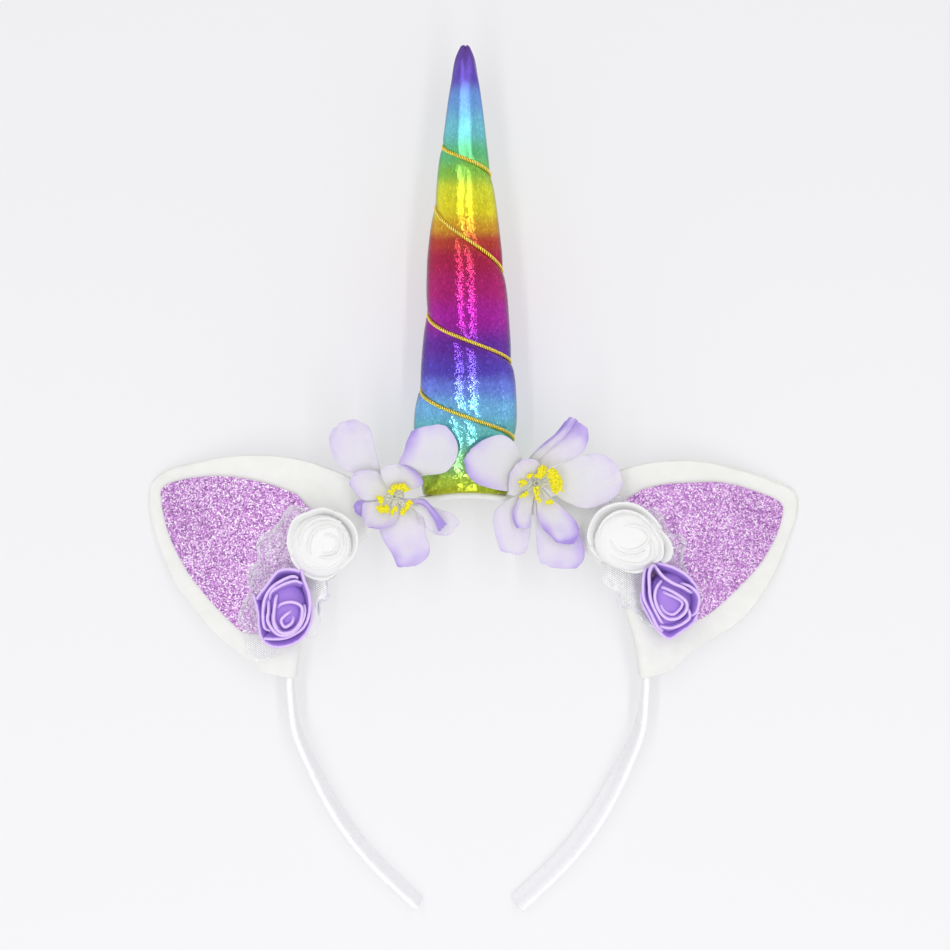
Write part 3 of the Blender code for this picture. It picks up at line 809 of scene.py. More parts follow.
def make_cord():
    turns_total = 3.9 + 0.2
    steps = 1100
    centre = []
    for k in range(steps + 1):
        turn = -0.2 + turns_total * k / steps
        height = read_table(CORD_PASSES, turn)
        # The last bit at each end tucks back towards the cover.
        end = min(k, steps - k) / steps
        lift = 0.28 - 0.25 * (1 - smooth(end / 0.012))
        radius = horn_radius(height, turn % 1.0) - cord_groove(height, turn % 1.0) + lift
        at = Vector(horn_place(height, turn, radius))
        over = float(to_world(np.array(at))[2]) / MM - 0.72
        if over < 0.8:
            # It stays on the table under the horn.
            at.z += 0.8 * math.exp((over - 0.8) / 0.8) - over
        centre.append(at)
    heap = Heap()
    run = [0.0]
    for a, b in zip(centre, centre[1:]):
        run.append(run[-1] + (b - a).length)
    pitch, twist_r, strand_r = 2.6, 0.35, 0.28
    frames = []
    for k, p in enumerate(centre):
        t = (centre[min(steps, k + 1)] - centre[max(0, k - 1)]).normalized()
        out = Vector((p.x - HORN_X, 0.0, p.z)).normalized()
        out = (out - t * out.dot(t)).normalized()
        frames.append((p, t, out, t.cross(out)))
    for strand in range(3):
        path, dark = [], []
        for k, (p, t, out, side) in enumerate(frames):
            a = 2 * math.pi * (run[k] / pitch + strand / 3.0)
            path.append(p + (out * math.cos(a) + side * math.sin(a)) * twist_r)
        points, faces = tube_points(path, strand_r, 8)
        u = []
        for k in range(len(path)):
            for s in range(8):
                u.append((s / 8.0 * 2.2, run[k]))
        crest = []
        for k, (p, t, out, side) in enumerate(frames):
            away = (path[k] - p).normalized()
            for s in range(8):
                crest.append(0.5 + 0.5 * (points[k * 8 + s] - path[k]).normalized().dot(away))
        heap.add(points, faces, uvs=u, crest=crest)
    m, shader = new_material("gold_cord_twist", roughness=0.30, metallic=0.45)
    uv = node(m, "ShaderNodeTexCoord").outputs["UV"]
    lay = node(m, "ShaderNodeMapping", ("Vector", uv), ("Scale", (3.0, 3.0, 1.0)), ("Rotation", (0, 0, 0.7))).outputs["Vector"]
    fibre = node(m, "ShaderNodeTexWave", ("Vector", lay), ("Scale", 1.1), ("Distortion", 1.2), ("Detail", 2.0), wave_type="BANDS").outputs["Fac"]
    gold = ramp(m, fibre, ((0.1, srgb("#e6b414")), (0.4, srgb("#ffdc20")), (0.8, srgb("#fff480"))))
    # Painted shade where each strand turns in towards the cord's core, and a painted highlight, above full brightness,
    # on its outer crest.
    painted_gap_shade_and_crest_highlight = ramp(m, attribute(m, "crest"), ((0.55, srgb("#3a2406")), (0.74, srgb("#c8a24c")), (0.88, (1.5, 1.5, 1.45))))
    link(m, mix(m, 1.0, gold, painted_gap_shade_and_crest_highlight, "MULTIPLY"), shader.inputs["Base Color"])
    link(m, bump(m, fibre, 0.5, 0.08), shader.inputs["Normal"])
    obj = heap.mesh("gold_twist_cord", m)
    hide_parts("horn_cord")
    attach(obj, "root")
    return obj


# ---------------------------------------------------------------- ears
def felt_material():
    m, shader = new_material("ivory_felt", roughness=0.95, Sheen_Weight=0.5, Sheen_Roughness=0.6, Specular_IOR_Level=0.25)
    at = object_coords(m)
    fibres = node(m, "ShaderNodeTexNoise", ("Vector", node(m, "ShaderNodeMapping", ("Vector", at), ("Scale", (1.0, 0.35, 1.0)), ("Rotation", (0, 0, 0.6))).outputs["Vector"]), ("Scale", 2.4), ("Detail", 5.0), ("Roughness", 0.7), ("Distortion", 2.5)).outputs["Fac"]
    fuzz = noise_tex(m, at, 5.5, 4.0, 0.75, 1.2)
    cloud = noise_tex(m, at, 0.12, 3.0)
    link(m, bump(m, math_node(m, "ADD", fibres, fuzz), 0.55, 0.16), shader.inputs["Normal"])
    tone = math_node(m, "ADD", math_node(m, "MULTIPLY", cloud, 0.5), math_node(m, "MULTIPLY", fuzz, 0.5))
    link(m, ramp(m, tone, ((0.28, srgb("#e4e5df")), (0.5, srgb("#ecede8")), (0.7, srgb("#f3f3ef")))), shader.inputs["Base Color"])
    return m


FELT_WALL = 1.12


def make_ear(side, edge, finish, back_reach):
    """One piece of felt, folded round the strip: out along the front to the edge, and back along the rear."""
    rows = fine_edge(edge, 84)
    rise_side, inner = 5.25, 1.86
    points, uvs = [], []
    for i, (degrees, x, y) in enumerate(rows):
        foot, out = hoop_point(degrees), hoop_outward(degrees)
        reach = Vector((x, y, 0.0)) - foot
        length = reach.length
        run_way = reach / length
        squeeze = min(1.0, (length - 1.0) / 8.2)
        start = 8.6 * squeeze
        key = []
        for share in (1.0, 0.985, 0.95, 0.86, 0.74, 0.62, 0.48, 0.34, 0.2, 0.08):
            key.append((start + (length - start) * share, EAR_LIFT + 0.6))
        key += [(6.6 * squeeze, EAR_LIFT + 0.95), (3.6 * squeeze, rise_side - 0.45), (0.9 * squeeze, rise_side)]
        key += [(-inner + 0.75, rise_side - 0.25), (-inner, rise_side - 1.3), (-inner, 2.0), (-inner, 0.0), (-inner, -2.0), (-inner, -rise_side + 1.3), (-inner + 0.75, -rise_side + 0.25)]
        key += [(0.9 * squeeze, -rise_side), (2.9 * squeeze, -rise_side + 1.2), (5.0 * squeeze, -0.6), (7.2 * squeeze, EAR_LIFT - 1.15)]
        far = length + back_reach * min(1.0, length / 20.0)
        for share in (0.0, 0.12, 0.25, 0.4, 0.55, 0.7, 0.82, 0.93, 0.98, 1.0):
            key.append((start + 0.3 + (far - start - 0.3) * share, EAR_LIFT - 0.62))
        for j, (distance, rise) in enumerate(key):
            along = out if distance <= 0 else run_way
            at = foot + along * distance
            z = rise - ear_sag(at.x, at.y)
            if distance > 4:
                layer = 1.0 if j < 14 else -1.0
                z += 0.32 * wave(at.x * 0.07, at.y * 0.07, 0, 8) * smooth((distance - 4) / 12)
                edge_near = smooth((distance - length + 5) / 5)
                z += layer * 0.10 * edge_near * (0.7 + wave(at.x * 0.12, at.y * 0.12, 0, 9 + layer))
                jag = 0.10 * wave(i * 0.35, layer * 3, 0, 10) + 0.07 * wave(i * 1.3, layer * 5, 0, 11)
                at += run_way * jag * edge_near
            points.append((at.x, at.y, z))
            uvs.append((j * 1.0, i * 1.0))
    columns = len(key)
    faces = grid_faces(len(rows), columns)
    obj = make_mesh("ear_felt_cover_" + side, points, faces, uvs=uvs)
    thicken(obj, FELT_WALL, 0.0, 1)
    outward(obj)
    tex = bpy.data.textures.new("felt_nap_" + side, "CLOUDS")
    tex.noise_scale = 0.0011
    tex.noise_depth = 2
    nap = obj.modifiers.new("nap", "DISPLACE")
    nap.texture = tex
    nap.texture_coords = "LOCAL"
    nap.strength = 0.00016
    nap.mid_level = 0.5
    apply_all(obj)
    obj.data.shade_smooth()
    obj.data.materials.append(finish)
    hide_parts("ear_felt_" + side)
    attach(obj, "root")
    return obj


def glitter_material():
    """Loose flakes about half a millimetre across, each with its own tone and lean; the whitest flakes are painted
    glints.
    """
    m, shader = new_material("orchid_glitter", roughness=0.34, metallic=0.25, Specular_IOR_Level=0.6, Coat_Weight=0.12, Coat_Roughness=0.2)
    at = object_coords(m)
    flat = node(m, "ShaderNodeMapping", ("Vector", at), ("Scale", (1.0, 1.0, 0.45))).outputs["Vector"]
    cells = node(m, "ShaderNodeTexVoronoi", ("Vector", flat), ("Scale", 2.3), ("Randomness", 1.0), voronoi_dimensions="3D")
    fine = node(m, "ShaderNodeTexVoronoi", ("Vector", flat), ("Scale", 4.0), ("Randomness", 1.0), voronoi_dimensions="3D")
    parts = node(m, "ShaderNodeSeparateColor", ("Color", cells.outputs["Color"]))
    small = node(m, "ShaderNodeSeparateColor", ("Color", fine.outputs["Color"]))
    tone = math_node(m, "ADD", math_node(m, "MULTIPLY", parts.outputs["Red"], 0.62), math_node(m, "MULTIPLY", small.outputs["Red"], 0.38))
    # Tone varies at random from flake to flake; the top of the ramp goes to white, a painted glint.
    flake_tone_and_painted_glint = ramp(
        m,
        tone,
        ((0.12, srgb("#6a3c7c")), (0.28, srgb("#a565b4")), (0.48, srgb("#c88ad2")), (0.66, srgb("#dca6e4")), (0.76, srgb("#f8e6fb")), (0.86, srgb("#ffffff"))),
    )
    link(m, flake_tone_and_painted_glint, shader.inputs["Base Color"])
    normal = node(m, "ShaderNodeNewGeometry").outputs["Normal"]
    tilt = node(m, "ShaderNodeVectorMath", (0, fine.outputs["Color"]), (1, (0.5, 0.5, 0.5)), operation="SUBTRACT").outputs[0]
    tilt = node(m, "ShaderNodeVectorMath", (0, tilt), operation="SCALE")
    tilt.inputs["Scale"].default_value = 0.55
    turned = node(m, "ShaderNodeVectorMath", (0, normal), (1, tilt.outputs[0]), operation="ADD").outputs[0]
    link(m, node(m, "ShaderNodeVectorMath", (0, turned), operation="NORMALIZE").outputs[0], shader.inputs["Normal"])
    return m


def make_panel(side, edge, finish):
    rise = EAR_LIFT + 1.2 + 0.4 + 0.4
    rows = fine_edge(edge, 96)
    columns = 34
    points, uvs = [], []
    for i, (degrees, x, y) in enumerate(rows):
        near = hoop_point(degrees) * (1.0 + 9.5 / 62.0)
        far = Vector((x, y, 0.0))
        for j in range(columns):
            at = near.lerp(far, (j / (columns - 1)) ** 0.9)
            z = rise - ear_sag(at.x, at.y) + 0.32 * wave(at.x * 0.07, at.y * 0.07, 0, 8) + 0.07 * wave(at.x * 1.1, at.y * 1.1, 0, 12)
            points.append((at.x, at.y, z))
            uvs.append((at.x, at.y))
    obj = make_mesh("ear_glitter_sheet_" + side, points, grid_faces(len(rows), columns), uvs=uvs, finish=finish)
    thicken(obj, 0.72, 0.0)
    outward(obj)
    obj.data.shade_smooth()
    obj.data.set_sharp_from_angle(angle=math.radians(50))
    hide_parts("ear_glitter_" + side)
    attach(obj, "root")
    return obj


# ---------------------------------------------------------------- roses
# Petal rims of each rose, inside out: height over the rose's foot, and the line it follows, as seen at a height of 15.
PURPLE_LEFT = (
    (10.3, ((-58.0, 27.3), (-59.8, 25.9), (-61.1, 24.4), (-60.1, 22.5), (-58.2, 23.7), (-57.6, 25.6))),
    (11.2, ((-62.1, 27.8), (-62.3, 28.6), (-60.7, 29.7), (-58.3, 30.2), (-56.3, 29.8), (-54.8, 28.6), (-54.9, 25.6), (-56.0, 22.9), (-58.4, 20.8), (-61.1, 20.5), (-62.9, 21.8), (-63.9, 23.9), (-64.2, 26.6))),
    (10.9, ((-62.9, 32.5), (-63.3, 29.3), (-63.6, 25.6), (-63.1, 22.7), (-61.6, 21.0))),
    (10.7, ((-65.6, 30.7), (-65.4, 27.3), (-65.7, 24.6), (-64.3, 21.8), (-62.1, 19.9), (-59.4, 19.9), (-56.7, 21.5), (-54.7, 24.2), (-53.9, 27.3), (-54.2, 29.3))),
    (10.0, ((-64.8, 20.7), (-66.7, 21.8), (-67.2, 25.6), (-67.0, 29.3), (-66.3, 32.2), (-64.6, 35.0), (-61.9, 37.0), (-59.2, 38.4), (-57.2, 38.8), (-55.8, 37.9))),
    (9.6, ((-65.4, 30.7), (-64.6, 33.6), (-62.3, 35.3), (-59.3, 36.8), (-56.6, 37.3), (-54.4, 36.3))),
    (9.2, ((-54.9, 41.1), (-53.8, 37.4), (-52.6, 34.0), (-52.1, 30.7), (-52.3, 27.3), (-53.3, 23.9), (-55.0, 21.5), (-57.7, 19.8), (-60.4, 18.7), (-63.8, 18.3), (-67.3, 18.2))),
    (8.2, ((-69.5, 31.2), (-68.0, 33.4), (-65.6, 36.4), (-63.5, 39.4), (-61.8, 40.9), (-59.2, 41.3), (-56.5, 41.0), (-54.6, 40.0))),
    (6.4, ((-70.5, 33.0), (-69.7, 30.3), (-68.7, 26.9), (-68.6, 23.2), (-68.0, 19.5), (-66.4, 17.0), (-63.1, 15.8), (-59.4, 16.3), (-55.4, 18.1), (-52.7, 21.5), (-51.5, 25.6), (-51.6, 30.7), (-52.4, 34.7))),
)
PURPLE_RIGHT = (
    (9.6, ((63.8, 33.7), (67.0, 32.3), (70.2, 30.5), (69.9, 28.8), (68.0, 26.9), (66.4, 26.8), (64.4, 28.3), (63.4, 31.3))),
    (11.0, ((64.2, 37.2), (62.5, 35.2), (61.8, 32.8), (62.3, 29.9), (64.0, 26.7), (66.2, 25.1), (69.1, 25.4), (71.6, 27.7), (71.7, 30.4), (69.2, 32.5), (65.9, 34.3), (63.8, 35.0))),
    (10.4, ((62.3, 42.1), (60.9, 42.3), (59.8, 40.2), (59.8, 36.5), (60.3, 32.0), (61.8, 28.2), (63.7, 24.6), (64.7, 23.2))),
    (10.2, ((63.5, 22.4), (67.1, 22.2), (70.7, 23.6), (72.9, 25.7), (72.2, 28.9))),
    (10.0, ((61.7, 42.1), (64.3, 38.8), (67.2, 36.7), (70.7, 35.1), (73.9, 33.2))),
    (9.0, ((70.1, 36.5), (73.0, 35.5), (75.1, 33.6), (76.0, 31.0), (75.1, 27.3), (73.6, 25.6))),
    (8.6, ((58.8, 42.1), (58.0, 39.4), (57.8, 35.7), (58.2, 31.5), (60.6, 26.8), (62.6, 22.6), (64.5, 20.7))),
    (7.0, ((61.6, 43.4), (66.9, 42.1), (71.9, 39.2), (74.8, 35.7), (76.2, 31.5))),
    (6.4, ((57.1, 33.6), (57.6, 29.9), (60.2, 25.2), (62.4, 21.7), (66.3, 18.6), (70.2, 20.9), (73.9, 23.6), (75.8, 27.0))),
)
WHITE_LEFT = (
    (10.4, ((-47.6, 51.4), (-45.8, 52.5), (-43.5, 51.3), (-43.1, 49.2), (-44.5, 47.3), (-46.8, 46.9), (-48.4, 48.3))),
    (10.9, ((-43.2, 54.9), (-42.0, 52.8), (-41.6, 50.2), (-42.3, 47.5), (-44.0, 46.0), (-46.5, 45.5), (-49.5, 45.8))),
    (10.6, ((-50.7, 45.5), (-51.9, 48.2), (-51.4, 51.6), (-49.4, 54.3), (-46.4, 55.3), (-43.4, 54.9))),
    (9.8, ((-54.8, 45.7), (-53.2, 43.4), (-50.5, 42.1), (-46.8, 41.8), (-43.1, 43.1), (-40.5, 45.8), (-39.4, 49.2), (-40.1, 52.6), (-41.6, 54.6))),
    (9.6, ((-54.3, 47.5), (-54.8, 51.4), (-53.1, 55.1), (-49.7, 57.5), (-45.7, 58.0), (-41.6, 56.5))),
    (8.4, ((-57.8, 45.5), (-58.8, 49.6), (-58.4, 53.6), (-56.4, 58.0), (-52.4, 59.9), (-47.7, 61.3), (-44.0, 60.3))),
    (8.2, ((-44.4, 60.2), (-41.0, 59.0), (-37.7, 55.9), (-36.4, 51.9), (-37.0, 47.5), (-39.8, 43.5), (-43.8, 41.1), (-47.8, 40.1))),
    (6.4, ((-58.3, 47.5), (-57.2, 44.2), (-54.5, 40.8), (-51.2, 38.8), (-47.2, 38.1), (-44.5, 39.4), (-41.6, 41.5))),
)
WHITE_RIGHT = (
    (10.2, ((48.3, 52.6), (49.2, 50.2), (51.4, 48.4), (54.8, 48.1), (58.2, 50.0), (59.3, 52.3), (57.4, 54.6), (53.2, 55.6), (49.7, 54.7))),
    (10.8, ((46.9, 52.3), (48.1, 49.0), (51.2, 46.6), (55.4, 46.2), (58.9, 47.9))),
    (10.6, ((59.6, 51.7), (60.5, 48.0), (59.7, 44.8), (56.4, 43.2), (52.2, 43.7), (48.6, 45.5), (45.4, 48.4))),
    (9.8, ((43.9, 50.0), (43.4, 54.6), (45.9, 58.3), (50.0, 60.4), (54.7, 59.9), (58.5, 57.3), (61.1, 54.1))),
    (9.4, ((59.5, 56.8), (61.8, 53.1), (63.7, 49.7), (63.5, 45.3), (61.2, 43.4))),
    (7.8, ((61.6, 54.7), (64.7, 52.6), (66.9, 48.3), (66.3, 45.1), (64.3, 43.3))),
    (8.4, ((40.4, 48.9), (39.6, 52.6), (40.7, 56.8), (43.3, 60.5), (47.4, 62.6), (52.1, 63.1), (56.3, 61.9), (60.6, 58.4), (63.6, 54.7))),
    (6.6, ((39.9, 50.5), (40.7, 47.8), (43.9, 44.8), (47.5, 43.5), (50.3, 41.7), (54.9, 40.5), (58.0, 41.3), (61.2, 43.5))),
)
ROSE_BASE = 7.65


def foam_material(name, low, middle, high, sheen=0.15, painted_glow=0.0):
    # painted_glow makes the foam glow faintly, painted light that lifts the shade in its creases.
    m, shader = new_material(name, roughness=0.75, Sheen_Weight=sheen, Sheen_Roughness=0.5, Specular_IOR_Level=0.25, Subsurface_Weight=0.12, Subsurface_Scale=0.0012, Emission_Color=(1.0, 1.0, 0.99, 1.0), Emission_Strength=painted_glow)
    shader.inputs["Subsurface Radius"].default_value = (1.0, 0.8, 1.0)
    up = attribute(m, "up")
    at = object_coords(m)
    mottle = noise_tex(m, at, 0.55, 3.0)
    level = math_node(m, "ADD", up, math_node(m, "MULTIPLY", math_node(m, "SUBTRACT", mottle, 0.5), 0.16))
    # Darkest deep down at the petals' feet and lightest at their rims: painted shade between the petals and painted
    # light on the rims.
    link(m, ramp(m, level, ((0.0, srgb(low)), (0.55, srgb(middle)), (0.86, srgb(middle)), (1.0, srgb(high))), "EASE"), shader.inputs["Base Color"])
    pores = node(m, "ShaderNodeTexVoronoi", ("Vector", at), ("Scale", 4.2)).outputs["Distance"]
    grain = noise_tex(m, at, 2.6, 4.0, 0.65)
    link(m, bump(m, math_node(m, "ADD", math_node(m, "MULTIPLY", pores, 0.5), grain), 0.32, 0.09), shader.inputs["Normal"])
    return m


ROSE_FOOT_LOW = ((0.0, -0.02), (0.5, -0.02), (0.86, 0.1), (0.97, 1.0), (0.97, 3.4), (0.88, 5.4), (0.64, 7.1), (0.32, 8.0), (0.0, 8.2))
ROSE_FOOT_FULL = ((0.0, -0.02), (0.5, -0.02), (0.86, 0.1), (0.97, 1.0), (0.99, 4.2), (1.04, 6.0), (0.98, 7.2), (0.66, 8.9), (0.0, 9.7))


def make_rose(name, node_name, rims, middle, half, finish, filling=ROSE_FOOT_LOW, foam=1.0):
    x0, y0 = middle
    foot_z = ROSE_BASE - ear_sag(x0, y0)
    bud = np.mean([lift_from(px, py, 15.0, foot_z + rims[0][0])[:2] for px, py in rims[0][1]], axis=0)
    heap = Heap()
    total = len(rims)
    for i, (height, line) in enumerate(rims):
        placed = [lift_from(px, py, 15.0, foot_z + height)[:2] for px, py in line]
        count = 44
        path = along_smooth(placed, count)
        share_out = i / (total - 1)
        centre = bud * (1 - 0.55 * share_out) + np.array([x0, y0]) * 0.55 * share_out
        rows = 11
        points, painted_shade_levels, uvs = [], [], []
        tuck = 0.90 - 0.20 * smooth(share_out * 1.4)
        for r in range(rows):
            t = r / (rows - 1)
            for k in range(count):
                a = 2.0 * k / (count - 1) - 1.0
                end_drop = 1.0 - 0.26 * abs(a) ** 5 - 0.03 * wave(k * 0.16, i * 3.1, 0, 20)
                reach = tuck + (1.0 - tuck) * t**0.8
                p = centre + (path[k] - centre) * reach
                out = (path[k] - centre) / max(0.3, np.linalg.norm(path[k] - centre))
                lip = 0.42 * smooth((t - 0.72) / 0.28)
                bulge = 0.30 * math.sin(math.pi * t) * wave(k * 0.11, t * 2.0, i * 2.3, 21)
                p = p + out * (lip + bulge)
                z = foot_z + 0.4 + (height - 0.4) * end_drop * (t - 0.045 * smooth((t - 0.85) / 0.15))
                points.append((p[0], p[1], z))
                # Low deep down and high at the rim, for the painted shade and painted rim light.
                painted_shade_levels.append(t * (0.80 + 0.20 * smooth(share_out * 1.5)) if t < 0.8 else t)
                uvs.append((k, r))
        heap.add(points, grid_faces(rows, count), uvs=uvs, up=painted_shade_levels)
    obj = heap.mesh(name)
    thicken(obj, foam, 0.0, 1)
    # The foot that the petals are glued to.
    points, faces, painted_shade_levels = [], [], []
    spokes = 28
    for share, z in filling:
        for k in range(spokes):
            a = 2 * math.pi * k / spokes
            far = share * half[0] * half[1] / math.hypot(half[1] * math.cos(a), half[0] * math.sin(a)) * 0.86
            px, py = x0 + max(0.02, far) * math.cos(a), y0 + max(0.02, far) * math.sin(a)
            points.append((px, py, ROSE_BASE - ear_sag(px, py) + z))
            # The foot is darker low down, painted shade under the petals.
            painted_shade_levels.append(0.05 + 0.7 * max(0.0, z) / filling[-1][1])
    faces = grid_faces(8, spokes, closed=True)
    faces.append(tuple(range(spokes))[::-1])
    faces.append(tuple(7 * spokes + k for k in range(spokes)))
    foot = make_mesh(name + "_foot", points, faces, values={"up": painted_shade_levels})
    outward(obj)
    outward(foot)
    bm = bmesh.new()
    bm.from_mesh(obj.data)
    bm.from_mesh(foot.data)
    bm.to_mesh(obj.data)
    bm.free()
    bpy.data.objects.remove(foot)
    obj.data.shade_smooth()
    obj.data.materials.clear()
    obj.data.materials.append(finish)
    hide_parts(node_name)
    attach(obj, "root")
    return obj


# ---------------------------------------------------------------- tulle
TULLE_LEFT_REACH = (
    # direction_deg, reach
    (0.0, 12.0),
    (40.0, 20.0),
    (75.0, 25.0),
    (105.0, 21.0),
    (140.0, 17.0),
    (175.0, 16.0),
    (205.0, 20.0),
    (228.0, 27.0),
    (240.0, 32.0),
    (262.0, 22.0),
    (283.0, 20.5),
    (303.0, 14.5),
    (325.0, 12.0),
)
TULLE_RIGHT_REACH = (
    # direction_deg, reach
    (0.0, 14.0),
    (30.0, 16.0),
    (70.0, 18.0),
    (108.0, 25.0),
    (135.0, 26.0),
    (165.0, 16.0),
    (200.0, 13.0),
    (235.0, 13.5),
    (270.0, 17.0),
    (300.0, 22.0),
    (330.0, 17.0),
)


def read_round_table(rows, degrees):
    n = len(rows)
    wrapped = [(rows[k % n][0] + 360.0 * (k // n), rows[k % n][1]) for k in range(-2, n + 3)]
    return read_table(wrapped, degrees % 360.0)


def net_material():
    """Fine hexagonal net, a mesh about every 0.6 mm, denser in places where it lies double."""
    m, shader = new_material("silver_net", roughness=0.3, metallic=0.25, Sheen_Weight=0.4, Base_Color=(0.93, 0.93, 0.96, 1.0))
    uv = node(m, "ShaderNodeTexCoord").outputs["UV"]
    lines = None
    for degrees in (0.0, 60.0, 120.0):
        turned = node(m, "ShaderNodeMapping", ("Vector", uv), ("Rotation", (0, 0, math.radians(degrees))), ("Scale", (1.75, 1.75, 1.0))).outputs["Vector"]
        x = node(m, "ShaderNodeSeparateXYZ", (0, turned)).outputs["X"]
        away = math_node(m, "ABSOLUTE", math_node(m, "SUBTRACT", math_node(m, "FRACT", x), 0.5))
        thread = math_node(m, "LESS_THAN", away, 0.085)
        lines = thread if lines is None else math_node(m, "MAXIMUM", lines, thread)
    patch = ramp(m, noise_tex(m, object_coords(m), 0.30, 3.0, 0.6), ((0.35, (0.16, 0.16, 0.16)), (0.65, (0.62, 0.62, 0.62))))
    link(m, math_node(m, "ADD", math_node(m, "MULTIPLY", lines, patch), 0.05), shader.inputs["Alpha"])
    return m


def make_tulle(side, middle, reach, finish, speck_finish, seed):
    spokes, rings = 150, 26
    rng = random.Random(seed)

    def place(share, degrees, above=0.0):
        far = read_round_table(reach, degrees) * (1.0 + 0.07 * share * math.sin(9.0 * math.radians(degrees) + middle[1]))
        far *= 1.0 + 0.05 * share * wave(degrees * 0.11, seed, 0, 30)
        x = middle[0] + far * share * math.cos(math.radians(degrees))
        y = middle[1] + far * share * math.sin(math.radians(degrees))
        crimp = 0.34 * wave(x * 0.32, y * 0.32, seed, 31) + 0.5 * smooth((share - 0.75) / 0.25) * wave(x * 0.55, y * 0.55, seed, 32)
        return x, y, 6.55 + max(-0.35, crimp) - ear_sag(x, y) + above

    points, uvs = [], []
    for r in range(rings):
        share = 0.03 + 0.97 * r / (rings - 1)
        for k in range(spokes):
            p = place(share, 360.0 * k / spokes)
            points.append(p)
            uvs.append((p[0] * 1.0 + 0.35 * wave(p[0] * 0.1, p[1] * 0.1, 0, 33), p[1]))
    faces = grid_faces(rings, spokes, closed=True)
    faces.append(tuple(range(spokes)))
    net = make_mesh("tulle_net_" + side, points, faces, uvs=uvs, finish=finish)

    # Loose threads and turned-up edges of the net, and the glitter specks stuck to it.
    heap = Heap()
    for _ in range(46):
        degrees = rng.uniform(0, 360)
        share = rng.uniform(0.55, 0.98)
        bend = rng.uniform(-26, 26)
        steps = 12
        path = []
        for s in range(steps):
            t = s / (steps - 1)
            path.append(place(min(1.0, share + 0.05 * math.sin(3 * t)), degrees + bend * t, 0.25 + 0.35 * math.sin(math.pi * t)))
        pts, fcs = tube_points(path, rng.uniform(0.05, 0.09), 4)
        heap.add(pts, fcs)
    for _ in range(9):
        # A turned-up edge: a narrow fold of net standing on the sheet.
        degrees = rng.uniform(0, 360)
        share = rng.uniform(0.72, 0.97)
        bend = rng.choice((-1, 1)) * rng.uniform(14, 30)
        for line in range(5):
            path = [place(min(1.0, share + 0.012 * line + 0.03 * math.sin(4 * s / 13)), degrees + bend * s / 13, 0.2 + 0.22 * line * math.sin(math.pi * s / 13)) for s in range(14)]
            pts, fcs = tube_points(path, 0.07, 4)
            heap.add(pts, fcs)
    for share in (0.93, 0.955, 0.98, 1.0):
        # The cut edge lies double.
        path = [place(share - 0.012 * (1 + math.sin(k * 0.21 + 9 * share)), 3.0 * k, 0.12 + 0.12 * math.sin(k * 0.33 + 20 * share)) for k in range(121)]
        pts, fcs = tube_points(path, 0.055, 4)
        heap.add(pts, fcs)
    threads = heap.mesh("tulle_threads_" + side, speck_finish)
    heap = Heap()
    for _ in range(150):
        degrees = rng.uniform(0, 360)
        share = math.sqrt(rng.uniform(0.12, 1.0))
        x, y, z = place(min(0.99, share), degrees, 0.16)
        size = rng.uniform(0.13, 0.30)
        turn = rng.uniform(0, math.pi)
        lean = (rng.uniform(-0.35, 0.35), rng.uniform(-0.35, 0.35))
        top = [(x + size * math.cos(turn + k * math.pi / 3), y + size * math.sin(turn + k * math.pi / 3)) for k in range(6)]
        upper = [(a, b, z + 0.06 + lean[0] * (a - x) + lean[1] * (b - y)) for a, b in top]
        lower = [(a, b, c - 0.06) for a, b, c in upper]
        f = [tuple(range(6)), tuple(range(11, 5, -1))]
        f += [(k, k + 6, (k + 1) % 6 + 6, (k + 1) % 6) for k in range(6)]
        heap.add(upper + lower, f)
    specks = heap.mesh("tulle_specks_" + side, speck_finish, smooth_shade=False)
    outward(specks)
    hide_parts("tulle_" + side)
    for piece in (net, threads, specks):
        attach(piece, "root")
    return net, threads, specks


